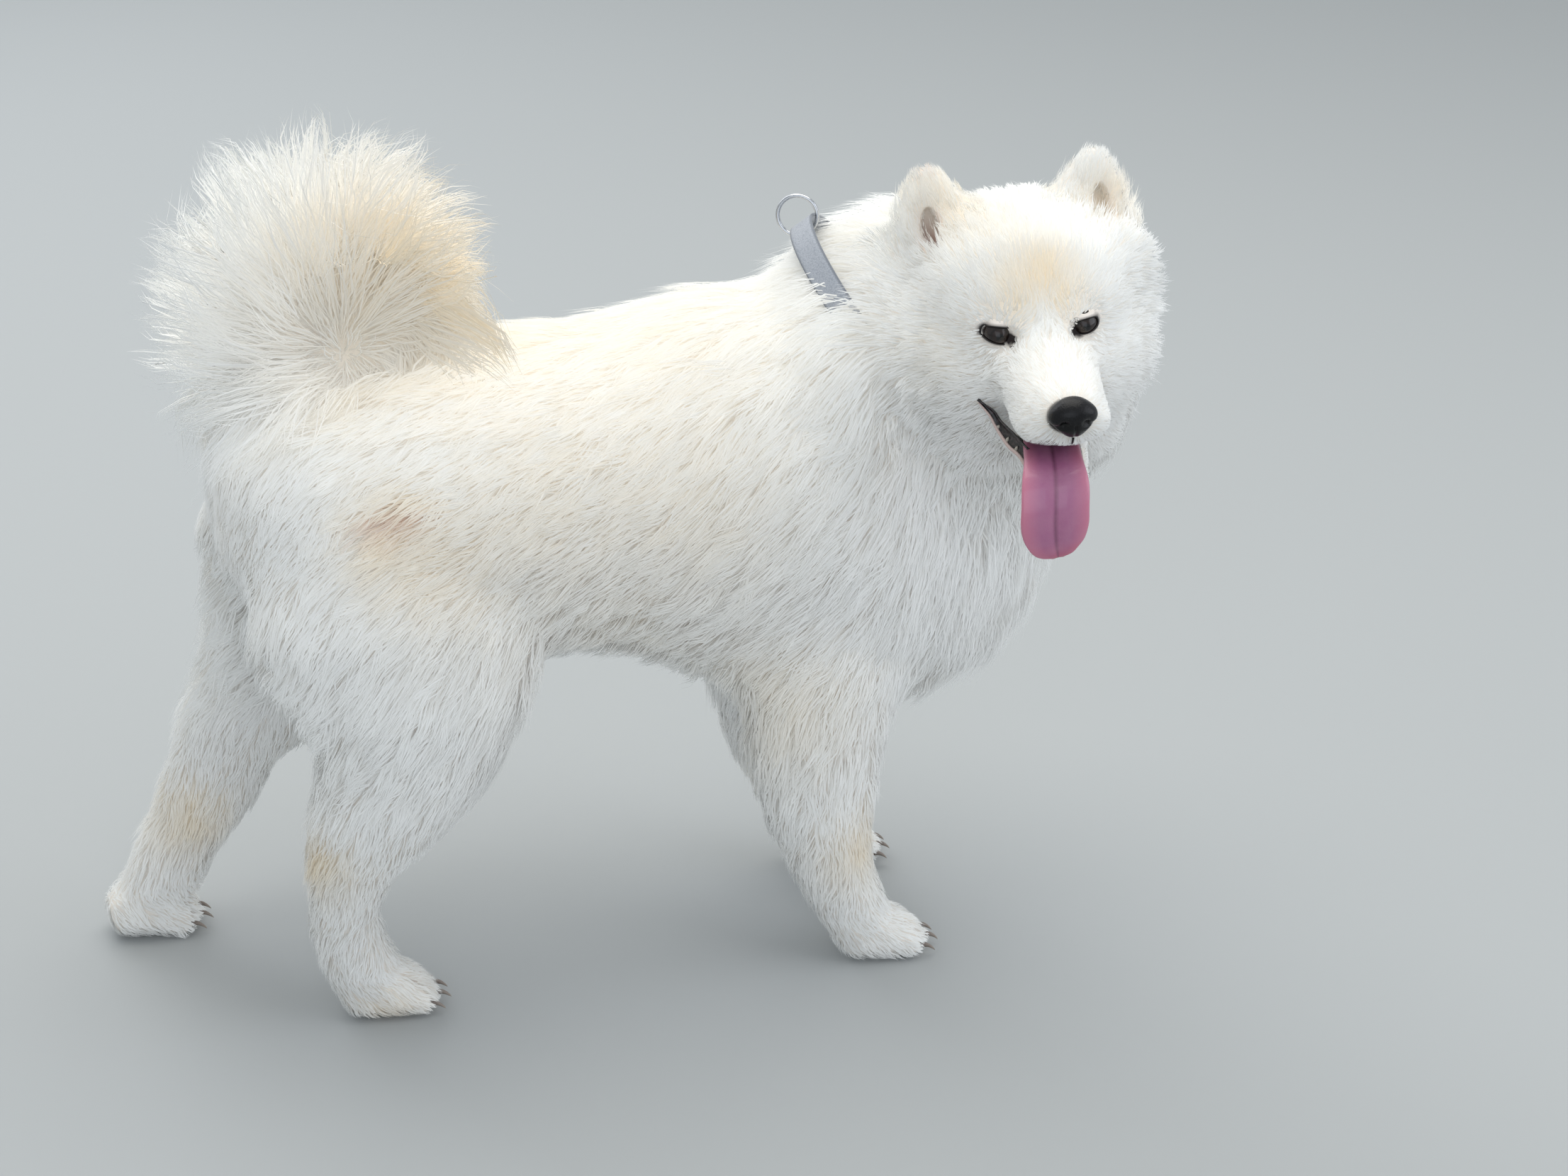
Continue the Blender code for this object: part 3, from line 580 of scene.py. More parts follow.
def smooth_row(stations, count):
    """Points on a smooth curve through the stations, any number of columns."""
    stations = np.asarray(stations, float)
    padded = np.vstack((2 * stations[0] - stations[1], stations, 2 * stations[-1] - stations[-2]))
    out = []
    for place in np.linspace(0.0, len(stations) - 1.0001, count):
        at = int(place)
        t = place - at
        a, b, c, d = padded[at:at + 4]
        out.append(0.5 * (2 * b + (c - a) * t + (2 * a - 5 * b + 4 * c - d) * t * t + (3 * b - a - 3 * c + d) * t ** 3))
    return np.array(out)


def lip_lines(side):
    """The two lip lines of one side, in metres; the far side is less open."""
    upper, lower = smooth_row(UPPER_LIP, 28) * MM, smooth_row(LOWER_LIP, 28) * MM
    if side < 0:
        upper, lower = upper[7:20] - SINK_FAR, lower[7:20] - SINK_FAR
        lower = upper + FAR_OPENING * (lower - upper)
    return upper * (side, 1.0, 1.0), lower * (side, 1.0, 1.0)


lip_tree = KDTree((28 + 13) * 5)
for side in (1, -1):
    upper, lower = lip_lines(side)
    for down in (0.0, 0.25, 0.5, 0.75, 1.0):
        for spot in upper + down * (lower - upper):
            lip_tree.insert(Vector(spot), 0)
lip_tree.balance()

# %% Bare places and hollows
EYE_SPREAD = 64.0 * MM
SLANT = radians(20.0)
EYE_RADIUS = 11.5 * MM
NOSE_PLACE = np.array((0.0, 0.090, -0.031))
FEET = {
    "foreleg_right": (0.147, -0.096),
    "foreleg_left": (0.157, 0.052),
    "hindleg_right": (-0.244, -0.063),
    "hindleg_left": (-0.404, 0.110),
}
TOE_SPACING = 15.0 * MM


def inside(points, centre, radii):
    """1 inside an ellipsoid, falling to 0 a fifth outside it."""
    return step(1.2, 1.0, np.linalg.norm((points - np.array(centre)) / np.array(radii), axis=1))


skin_own = skin_points - np.array(SHIFT)
skin_head = to_head(skin_points)
face_normal = skin_normal @ head_axes
bare = inside(skin_head, NOSE_PLACE, (0.0170, 0.016, 0.0122))
sockets = bare.copy()
for side in (1, -1):
    x, y, z = (skin_head - np.array((side * EYE_SPREAD / 2, 0.003, 0.0))).T * np.array([[side], [1], [1]])
    slanted = np.stack((x * cos(SLANT) + z * sin(SLANT), y, z * cos(SLANT) - x * sin(SLANT)), axis=1)
    bare = np.maximum(bare, inside(slanted, (0.0, 0.0, 0.0), (0.0138, 0.014, 0.0074)))
    sockets = np.maximum(sockets, inside(slanted, (0.0, 0.0, 0.0), (0.0124, 0.014, 0.0053)))
in_gape = (skin_head[:, 1] > 0.0) & (skin_head[:, 1] < 0.080) & (np.abs(skin_head[:, 0] - 0.005) < 0.024)
palate = in_gape & (face_normal[:, 2] < -0.80) & (skin_head[:, 2] > -0.082) & (part_of["head"] > 0.4)
gullet = in_gape & (face_normal[:, 2] > 0.50) & (skin_head[:, 2] < -0.060) & (part_of["jaw"] > 0.3)
mouth = blurred((palate | gullet).astype(float)[:, None], 1)[:, 0]
from_lips = np.array([lip_tree.find(Vector(point))[2] for point in skin_head])
at_lips = step(7.5 * MM, 5.0 * MM, from_lips)
soles = ((skin_own[:, 2] < 3.0 * MM) & (skin_normal[:, 2] < -0.7)).astype(float)
slit = np.zeros(len(skin_points))
for side, high in ((1, 0.058), (-1, 0.062)):
    slit = np.maximum(slit, inside(skin_head, (side * 0.0645, -0.071, high), (0.0062, 0.018, 0.0145)))
bare = np.clip(bare + step(0.4, 0.7, mouth) + soles + 0.85 * slit + at_lips, 0.0, 1.0)

between_toes = np.zeros(len(skin_points))
for x, y in FEET.values():
    across = skin_own[:, 1] - y
    line = np.abs(across - np.round(across / TOE_SPACING) * TOE_SPACING) / (2.4 * MM)
    ahead = step(0.004, 0.020, skin_own[:, 0] - x) * (np.abs(across) < 1.5 * TOE_SPACING)
    near_foot = (np.abs(skin_own[:, 0] - x) < 0.06) & (np.abs(across) < 0.04) & (skin_own[:, 2] < 0.04)
    between_toes = np.maximum(between_toes, np.exp(-line * line) * ahead * near_foot)
fold_line = (skin_own[:, 2] - 0.435 - 0.004 * np.cos((skin_own[:, 0] + 0.22) * 60.0)) / (5.0 * MM)
fold = np.exp(-fold_line ** 2) * step(0.030, 0.018, np.abs(skin_own[:, 0] + 0.221)) * (skin_own[:, 1] < -0.05)
hollow = 7.0 * slit + 3.5 * between_toes + 7.0 * fold + 1.5 * at_lips
skin_points -= skin_normal * (hollow * MM)[:, None]
skin_points[:, 2] = np.maximum(skin_points[:, 2], 0.8 * MM)
print("bare vertices:", int((bare > 0.5).sum()), "of them in the mouth:", int((mouth > 0.5).sum()))

# %% Skin mesh, its unwrap and its markings
whole.vertices.foreach_set("co", skin_points.ravel())
whole.update()
low_slit = slit * step(0.070, 0.048, skin_head[:, 2]) * (skin_head[:, 0] > 0)
# painted shade: a shadow brown in the ear slits, most in the lower part of the near ear, between the toes and along the
# thigh's fold
painted_shade = np.clip(0.55 * low_slit + slit * np.where(skin_head[:, 0] > 0, 0.25, 0.10) + 0.5 * between_toes + 0.5 * fold, 0.0, 1.0)


def store(mesh, name, values):
    mesh.attributes.new(name, "FLOAT", "POINT").data.foreach_set("value", np.asarray(values, np.float32))


store(whole, "cream", marking(skin_points, CREAM, HEAD_CREAM))
store(whole, "pink_and_crease_shade", np.clip(marking(skin_points, PINK_AND_CREASE_SHADE, HEAD_PINK) + 0.7 * fold, 0.0, 1.0))
# painted shade: the lining of the mouth and the skin in the eye openings round the eyeballs are painted near-black
store(whole, "mouth", np.maximum(mouth, sockets))
store(whole, "painted_shade", painted_shade)
store(whole, "sole", soles)
whole.polygons.foreach_set("use_smooth", np.ones(len(whole.polygons), bool))
bpy.context.view_layer.objects.active = skin
skin.select_set(True)
bpy.ops.object.mode_set(mode="EDIT")
bpy.ops.mesh.select_all(action="SELECT")
bpy.ops.uv.smart_project(angle_limit=radians(66.0), island_margin=0.001)
bpy.ops.object.mode_set(mode="OBJECT")
whole.uv_layers.active.name = "OFBake"
skin_uv = read(whole.uv_layers["OFBake"].data, "uv", 2).reshape(-1, 3, 2)
print("unwrapped", len(skin_uv), "skin faces")

# %% [markdown]
# Tufts. A tuft is a thin closed spike of three sides that rises out of the skin, bends over and lies
# along the field. Roots are drawn at random over the faces, more where the zone is crowded. Some tufts
# lead, and the tips near them lean towards theirs, which makes locks. Each tip is combed back to the
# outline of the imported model, a little over or under it with its lock, so the silhouette is the dog's own.

# %% Draw the roots
draws = np.random.default_rng(11)
corner_points = skin_points[skin_faces]
area = 0.5 * np.linalg.norm(np.cross(corner_points[:, 1] - corner_points[:, 0],
                                     corner_points[:, 2] - corner_points[:, 0]), axis=1)
wanted = area * 1e4 * (crowd * (1.0 - bare))[skin_faces].mean(axis=1)
face_zone = nearest[skin_faces[:, 0]]
face_middle = to_head(corner_points.mean(axis=1))
face_side = corner_points[:, :, 1].mean(axis=1) - SHIFT.y
behind_face = face_middle[:, 1] < -0.030 - 0.25 * (face_middle[:, 2] > 0.03)
print("skin area", round(area.sum(), 3), "square metres,", int(wanted.sum()), "tufts wanted")

# piece: zones, side (0 both, 1 the dog's left, -1 its right), rings in a tuft, most triangles
PIECES = {
    "coat_face": (("head",), 0, 2, 190000),
    "coat_cheeks": (("head",), 0, 2, 130000),
    "coat_ears_jaw": (("ear", "jaw"), 0, 2, 110000),
    "coat_neck": (("neck",), 0, 2, 185000),
    "coat_chest_right": (("chest",), -1, 2, 150000),
    "coat_chest_left": (("chest",), 1, 2, 114000),
    "coat_loin_right": (("loin",), -1, 2, 120000),
    "coat_loin_left": (("loin",), 1, 2, 100000),
    "coat_thighs": (("thigh",), 0, 2, 170000),
    "coat_legs": (("upper", "lower"), 0, 2, 190000),
    "coat_paws": (("paw",), 0, 2, 80000),
    "coat_tail": (("tail",), 0, 3, 190000),
}


def triangles_per_tuft(rings):
    return 6 * (rings - 1) + 3 + 1


def draw_roots(name, zones, hand, rings, most):
    here = np.isin(face_zone, [zone_names.index(zone) for zone in zones]) & (face_side * hand >= 0.0)
    if name == "coat_face":
        here &= ~behind_face
    if name == "coat_cheeks":
        here &= behind_face
    weight = np.where(here, wanted, 0.0)
    count = min(int(weight.sum()), most // triangles_per_tuft(rings))
    ladder = np.cumsum(weight)
    picks = (np.arange(count) + draws.random(count)) / count * ladder[-1]
    chosen = np.minimum(np.searchsorted(ladder, picks), len(weight) - 1)
    first, second = draws.random(count), draws.random(count)
    over = first + second > 1.0
    first[over], second[over] = 1.0 - first[over], 1.0 - second[over]
    return chosen, np.stack((1.0 - first - second, first, second), axis=1), weight.sum() / count


def at_roots(values, chosen, mix):
    return np.einsum("nk,nk...->n...", mix, values[skin_faces[chosen]])


# %% Shape the tufts
STRAY_SHARE = 0.14
MOST_OVER = 26.0 * MM
LOCK_SIZE = 16


def locks_of(roots):
    """The nearest of the leading tufts, for each tuft."""
    leaders = draws.permutation(len(roots))[:max(1, len(roots) // LOCK_SIZE)]
    tree = KDTree(len(leaders))
    for at, leader in enumerate(leaders):
        tree.insert(Vector(roots[leader]), at)
    tree.balance()
    return leaders[np.array([tree.find(Vector(root))[1] for root in roots])]


def tuft_paths(chosen, mix, rings, thinning):
    """Points along each tuft from root to tip, its width and its lock."""
    count = len(chosen)
    root = at_roots(skin_points, chosen, mix)
    normal = unit(at_roots(skin_normal, chosen, mix))
    flow = at_roots(field, chosen, mix)
    flow = unit(flow - normal * np.sum(flow * normal, axis=1, keepdims=True))
    leader = locks_of(root)
    swing = np.radians(draws.normal(0.0, 9.0, count) + draws.normal(0.0, 9.0, count)[leader])[:, None]
    flow = flow * np.cos(swing) + np.cross(normal, flow) * np.sin(swing)
    side = np.cross(normal, flow)
    stray = draws.random(count) < STRAY_SHARE
    vary = draws.uniform(0.78, 1.12, count) * draws.uniform(0.85, 1.12, count)[leader]
    long = at_roots(length, chosen, mix) * MM * vary * np.where(stray, 1.15, 1.0)
    deep = at_roots(depth, chosen, mix)
    rough = at_roots(ragged, chosen, mix) * MM
    over = rough * (draws.uniform(0.0, 1.0, count)[leader] ** 1.5 - 0.56)
    over += rough * draws.normal(0.0, 0.12, count) + np.where(stray, 0.30 * rough, 0.0)
    over = np.minimum(over, MOST_OVER) + at_roots(puff, chosen, mix) * draws.uniform(0.4, 1.0, count)
    stands = np.clip(at_roots(rising, chosen, mix), 0.0, 1.0)
    rise = np.maximum(deep * draws.uniform(0.75, 1.10, count) + np.maximum(over, 0.0), long * stands)
    rise = np.maximum(np.minimum(np.minimum(rise, deep + over), 0.94 * long), 0.25 * deep)
    slope = np.sqrt(1.0 - stands ** 2) / np.maximum(stands, 0.05)
    reach = np.minimum(np.sqrt(long ** 2 - rise ** 2), rise * slope + 0.10 * long)
    steps = np.linspace(0.0, 1.0, rings + 1)
    wave = 0.06 * reach * draws.normal(0.0, 1.0, count)
    paths = np.stack([
        root + normal * (rise * (1.0 - (1.0 - here) ** 1.9))[:, None]
        + flow * (reach * here ** 1.2)[:, None] + side * (wave * sin(pi * here))[:, None]
        for here in steps
    ], axis=1)
    pull = at_roots(gather, chosen, mix) * draws.uniform(0.4, 1.3, count) * ~stray
    paths += (pull[:, None, None] * (steps ** 1.4)[None, :, None]) * (paths[leader] - paths)
    wide = at_roots(width, chosen, mix) * MM * draws.uniform(0.6, 1.3, count) * np.where(stray, 0.4, 1.0)
    wide *= min(1.35, sqrt(thinning))
    return root, normal, stands, steps, paths, wide, leader, over


def combed(paths, steps, allowed):
    """Bring each tip that stands further out of the outline than it may back to where it may be."""
    shift = np.zeros((len(paths), 3))
    for at, tip in enumerate(paths[:, -1]):
        place, normal = outline_tree.find_nearest(Vector(tip))[:2]
        beyond = (Vector(tip) - place).dot(normal) - allowed[at]
        if beyond > 0.0:
            shift[at] = -beyond * np.array(normal)
    return paths + shift[:, None, :] * (steps ** 1.6)[None, :, None]


SOFT_SHADE = 0.80


def tuft_mesh(name, normal, stands, steps, paths, wide, uv, marks):
    """One mesh of closed three-sided spikes, with the unwrap patch and the markings of each root."""
    count, rings = len(paths), len(steps) - 1
    heading = unit(np.gradient(paths, axis=1))
    ridge = unit(normal[:, None, :] - heading * np.sum(normal[:, None, :] * heading, axis=2, keepdims=True))
    across = np.cross(heading, ridge)
    taper = (1.0 - steps) ** 0.70 * (0.80 + 0.95 * steps)
    half = (0.5 * wide[:, None] * taper[None, :])[..., None]
    ring = np.stack((paths - across * half, paths + across * half, paths + ridge * 0.42 * half), axis=2)[:, :rings]
    verts = np.concatenate((ring.reshape(count, rings * 3, 3), paths[:, -1:, :]), axis=1)
    pattern = [(0, 1, 2)]
    under = [True]
    for level in range(rings):
        low, high = 3 * level, 3 * level + 3
        for near in range(3):
            far = (near + 1) % 3
            if level < rings - 1:
                pattern += [(low + near, high + near, high + far), (low + near, high + far, low + far)]
                under += [near == 0] * 2
            else:
                pattern.append((low + near, 3 * rings, low + far))
                under.append(near == 0)
    pattern = np.array(pattern)
    each = 3 * rings + 1
    faces = (pattern[None] + (np.arange(count) * each)[:, None, None]).reshape(-1)
    mesh = bpy.data.meshes.new(name)
    mesh.vertices.add(count * each)
    mesh.vertices.foreach_set("co", verts.astype(np.float32).ravel())
    mesh.loops.add(len(faces))
    mesh.loops.foreach_set("vertex_index", faces.astype(np.int32))
    mesh.polygons.add(len(faces) // 3)
    mesh.polygons.foreach_set("loop_start", np.arange(0, len(faces), 3, dtype=np.int32))
    mesh.polygons.foreach_set("use_smooth", np.ones(len(faces) // 3, bool))
    mesh.update(calc_edges=True)
    near_end, far_end = (read(mesh.edges, "vertices", 2, np.int32) % each).T
    at_tip = (near_end == 3 * rings) | (far_end == 3 * rings)
    same_line = (near_end % 3 == far_end % 3) | at_tip
    on_ridge = (np.minimum(near_end, far_end) % 3 == 2)
    mesh.attributes.new("sharp_edge", "BOOLEAN", "EDGE").data.foreach_set("value", same_line & ~on_ridge)

    flat = verts.reshape(-1, 3)[faces].reshape(-1, 3, 3)
    true = unit(np.cross(flat[:, 1] - flat[:, 0], flat[:, 2] - flat[:, 0]))
    axis_points = np.concatenate((np.repeat(paths[:, :rings], 3, axis=1), paths[:, -1:]), axis=1)
    outward = unit(verts - axis_points)
    outward[:, -1] = ridge[:, -1]
    soft = SOFT_SHADE * (1.0 - stands ** 2)[:, None, None]
    shaded = unit((1.0 - soft) * outward + soft * (0.5 * normal[:, None, :] + 0.5 * ridge[:, -1:]))
    corner = shaded.reshape(-1, 3)[faces].reshape(-1, 3, 3)
    against = np.sum(corner * true[:, None, :], axis=2, keepdims=True)
    corner = unit(corner + true[:, None, :] * np.maximum(0.80 - against, 0.0) * 1.6)
    below = np.tile(under, count)
    tipward = np.repeat(unit(paths[:, -1] - paths[:, 0]), int(np.sum(under)), axis=0)
    corner[below] = unit(true[below] + 0.5 * tipward)[:, None, :]
    mesh.attributes.new("custom_normal", "FLOAT_VECTOR", "CORNER").data.foreach_set(
        "vector", corner.astype(np.float32).ravel())

    along = np.concatenate((np.repeat(steps[:rings], 3), [1.0]))
    sideways = np.concatenate((np.tile((0.0, 1.0, 0.5), rings), [0.5]))
    patch = UV_PATCH * (np.stack((sideways, along), axis=1) - 0.5)
    layer = mesh.uv_layers.new(name="OFBake")
    layer.data.foreach_set("uv", (uv[:, None, :] + patch[None]).reshape(-1, 2)[faces].astype(np.float32).ravel())
    store(mesh, "along", np.tile(along, count))
    store(mesh, "sideways", np.tile(sideways, count))
    for mark, values in marks.items():
        store(mesh, mark, np.repeat(values, each))
    made = bpy.data.objects.new(name, mesh)
    bpy.context.scene.collection.objects.link(made)
    return made


# %% Grow the coat, piece by piece
UV_PATCH = 0.003
FLOOR_CLEAR = 1.0 * MM
TAIL_EDGE = -0.134
TAIL_EDGE_HEIGHT = 0.575
coat = {}
total_triangles = 0
for name, (zones, hand, rings, most) in PIECES.items():
    chosen, mix, thinning = draw_roots(name, zones, hand, rings, most)
    root, normal, stands, steps, paths, wide, leader, over = tuft_paths(chosen, mix, rings, thinning)
    paths = combed(paths, steps, over)
    if name == "coat_tail":
        edge = SHIFT.x + TAIL_EDGE + 1.2 * np.maximum(paths[..., 2] - TAIL_EDGE_HEIGHT, 0.0)
        paths[..., 0] -= 0.75 * np.maximum(paths[..., 0] - edge, 0.0)
    paths[..., 2] = np.maximum(paths[..., 2], FLOOR_CLEAR)
    uv = np.einsum("nk,nkc->nc", mix, skin_uv[chosen])
    marks = {
        "cream": marking(root, CREAM, HEAD_CREAM),
        "pink_and_crease_shade": np.clip(marking(root, PINK_AND_CREASE_SHADE, HEAD_PINK) + 0.5 * at_roots(fold, chosen, mix), 0.0, 1.0),
        "chance": draws.random(len(root)),
        "lock": draws.random(len(root))[leader],
    }
    coat[name] = tuft_mesh(name, normal, stands, steps, paths, wide, uv, marks)
    made = len(coat[name].data.polygons)
    total_triangles += made
    print(name, len(root), "tufts,", made, "triangles, one in", round(thinning, 2), "of those wanted")
print("coat has", total_triangles, "triangles")

# %% [markdown]
# Dog hair is a clear, hollow shaft that scatters white light, so the coat is a rough, pale Principled
# surface with a little sheen. Roots are painted darker, as the shade deep in the coat, and warmer than
# tips; each tuft differs a little from the next, and fine lines run along it, as if it were many hairs.

# %% Materials of the coat and the skin
WHITE = linear("F5F5F2")
SHADED_ROOT = linear("ECE9E1")
CREAM_HAIR = linear("F0DDB9")
PINK_SKIN_AND_SHADE = linear("B98478")
MOUTH_AND_SOCKET_SHADE = linear("1B1213")
SHADOW_BROWN = linear("6B4037")


def mix_colour(tree, factor, first, second):
    node = add(tree, "ShaderNodeMix", {0: factor, 6: first, 7: second}, data_type="RGBA")
    return node.outputs[2]


def attribute(tree, name):
    return add(tree, "ShaderNodeAttribute", attribute_name=name).outputs["Fac"]


def sum_of(tree, first, second, operation="MULTIPLY"):
    return add(tree, "ShaderNodeMath", {0: first, 1: second}, operation=operation).outputs[0]


def ranged(tree, value, low, high, low_to, high_to):
    return add(tree, "ShaderNodeMapRange", {0: value, 1: low, 2: high, 3: low_to, 4: high_to}).outputs[0]


def hair_material():
    made, tree, shader = new_material("samoyed_guard_hair", Roughness=0.65, Sheen_Weight=0.25)
    along, chance, lock = (attribute(tree, name) for name in ("along", "chance", "lock"))
    # painted shade: tufts darken towards the root, deep in the coat
    colour = mix_colour(tree, ranged(tree, along, 0.0, 0.6, 0.8, 0.0), WHITE, SHADED_ROOT)
    patchy = sum_of(tree, attribute(tree, "cream"), ranged(tree, lock, 0.0, 1.0, 0.8, 1.2))
    colour = mix_colour(tree, patchy, colour, CREAM_HAIR)
    colour = mix_colour(tree, sum_of(tree, attribute(tree, "pink_and_crease_shade"), 0.75), colour, PINK_SKIN_AND_SHADE)
    place = add(tree, "ShaderNodeCombineXYZ", {0: attribute(tree, "sideways"), 1: along, 2: chance}).outputs[0]
    lines = add(tree, "ShaderNodeMapping", {0: place, 3: (5.0, 0.6, 40.0)}).outputs[0]
    streak = add(tree, "ShaderNodeTexNoise", {0: lines, 2: 1.6, 3: 2.0}).outputs[0]
    tone = sum_of(tree, ranged(tree, streak, 0.3, 0.7, 0.95, 1.02), ranged(tree, chance, 0.0, 1.0, 0.95, 1.0))
    tone = sum_of(tree, tone, ranged(tree, lock, 0.0, 1.0, 0.97, 1.0))
    scaled = add(tree, "ShaderNodeVectorMath", {0: colour, 3: tone}, operation="SCALE").outputs[0]
    tree.links.new(scaled, shader.inputs["Base Color"])
    return made


def skin_material():
    made, tree, shader = new_material("dog_skin_under_coat", Roughness=0.8)
    place = add(tree, "ShaderNodeTexCoord").outputs["Object"]
    grain = add(tree, "ShaderNodeTexNoise", {0: place, 2: 700.0, 3: 3.0}).outputs[0]
    colour = mix_colour(tree, grain, linear("E2DACE"), linear("F2EDE6"))
    for mark, tint in (("cream", CREAM_HAIR), ("pink_and_crease_shade", PINK_SKIN_AND_SHADE), ("painted_shade", SHADOW_BROWN),
                       ("sole", linear("4A3A38")), ("mouth", MOUTH_AND_SOCKET_SHADE)):
        colour = mix_colour(tree, attribute(tree, mark), colour, tint)
    tree.links.new(colour, shader.inputs["Base Color"])
    bump = add(tree, "ShaderNodeBump", {0: 0.4, 1: 0.5 * MM, "Height": grain}).outputs[0]
    tree.links.new(bump, shader.inputs["Normal"])
    return made


hair = hair_material()
for piece in coat.values():
    piece.data.materials.append(hair)
    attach(piece, "root")
    piece.visible_shadow = False
skin.data.materials.append(skin_material())
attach(skin, "root")
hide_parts(*flesh)
print("coat and skin have their materials")

# %% [markdown]
# The small parts. Each is a row of rings, like the slices of a loft, drawn in the head's frame or the
# dog's own. One function joins the rings, and one gives the finished shape its material, parents it to
# the root and hides the imported parts it stands for.

# %% Helpers for the small parts
def from_head(points):
    return np.asarray(points) @ head_axes.T + np.array(between_eyes)


def from_own(points):
    return np.asarray(points) + np.array(SHIFT)


def add_rings(shape, rings, joined=False, marks=None):
    """Skin a row of closed rings; joined makes a hoop of them, else both ends are closed."""
    layers = {}
    for mark in marks or {}:
        layers[mark] = shape.verts.layers.float.get(mark) or shape.verts.layers.float.new(mark)
    rows = []
    for level, ring in enumerate(rings):
        rows.append([shape.verts.new(Vector(point)) for point in ring])
        for mark, layer in layers.items():
            for at, vert in enumerate(rows[-1]):
                vert[layer] = float(marks[mark][level][at])
    pairs = list(zip(rows, rows[1:])) + ([(rows[-1], rows[0])] if joined else [])
    made = []
    for near, far in pairs:
        for at in range(len(near)):
            to = (at + 1) % len(near)
            made.append(shape.faces.new((near[at], near[to], far[to], far[at])))
    if not joined:
        made += [shape.faces.new(rows[0]), shape.faces.new(rows[-1])]
    bmesh.ops.recalc_face_normals(shape, faces=made)


def finished(name, shape, finish, slot, *stands_for):
    mesh = bpy.data.meshes.new(name)
    shape.to_mesh(mesh)
    shape.free()
    mesh.polygons.foreach_set("use_smooth", np.ones(len(mesh.polygons), bool))
    mesh.materials.append(finish)
    made = bpy.data.objects.new(name, mesh)
    bpy.context.scene.collection.objects.link(made)
    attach(made, "root")
    if stands_for:
        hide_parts(*stands_for)
    return made


def tube(shape, path, radii, sides=10, marks=None):
    """A round tube along a path that closes at both ends."""
    path = np.asarray(path, float)
    heading = unit(np.gradient(path, axis=0))
    hint = np.tile((0.13, 0.41, 0.90), (len(path), 1))
    across = unit(np.cross(heading, hint))
    over = np.cross(heading, across)
    turns = np.linspace(0.0, tau, sides, endpoint=False)
    rings = [
        [spot + radius * (one * cos(turn) + two * sin(turn)) for turn in turns]
        for spot, radius, one, two in zip(path, radii, across, over)
    ]
    add_rings(shape, rings, marks=marks)


final_skin = BVHTree.FromPolygons([Vector(point) for point in skin_points], skin_faces.tolist())


def skin_front(x, z):
    """How far forward the skin lies in the head's frame, straight behind a point of the face."""
    start = Vector(from_head((x, 0.12, z)))
    hit = final_skin.ray_cast(start, Vector(to_world(np.array((0.0, -1.0, 0.0)))), 0.3)
    return to_head(np.array(hit[0]))[1] if hit[0] is not None else 0.0


# %% [markdown]
# Eyes. A samoyed's eye is dark brown and almond-shaped, with black rims, and its outer corner is higher
# than the inner. The ball carries a clear bulge, the cornea, whose coat gives the highlight. The lids
# are a closed hoop: black at the edge of the opening, and pale where they meet the hair.

# %% Eyes and lids
IRIS_EDGE = 0.66
PUPIL_EDGE = 0.26


def eye_material():
    made, tree, shader = new_material("dog_eye", Roughness=0.25, Specular_IOR_Level=0.3, Coat_Weight=0.45, Coat_Roughness=0.02)
    polar = attribute(tree, "polar")
    place = add(tree, "ShaderNodeTexCoord").outputs["Object"]
    flecks = add(tree, "ShaderNodeTexNoise", {0: place, 2: 1400.0, 3: 2.0}).outputs[0]
    iris = mix_colour(tree, flecks, linear("140D0B"), linear("2A1B14"))
    colour = mix_colour(tree, ranged(tree, polar, PUPIL_EDGE - 0.03, PUPIL_EDGE + 0.03, 1.0, 0.0), iris, linear("040304"))
    colour = mix_colour(tree, ranged(tree, polar, 0.50, IRIS_EDGE, 0.0, 0.9), colour, linear("0A0706"))
    colour = mix_colour(tree, ranged(tree, polar, IRIS_EDGE, IRIS_EDGE + 0.10, 0.0, 1.0), colour, linear("241C1A"))
    tree.links.new(colour, shader.inputs["Base Color"])
    return made


def lid_material():
    made, tree, shader = new_material("eyelid_skin", Roughness=0.45)
    colour = mix_colour(tree, attribute(tree, "rim"), linear("E6DFD8"), linear("15100F"))
    tree.links.new(colour, shader.inputs["Base Color"])
    return made


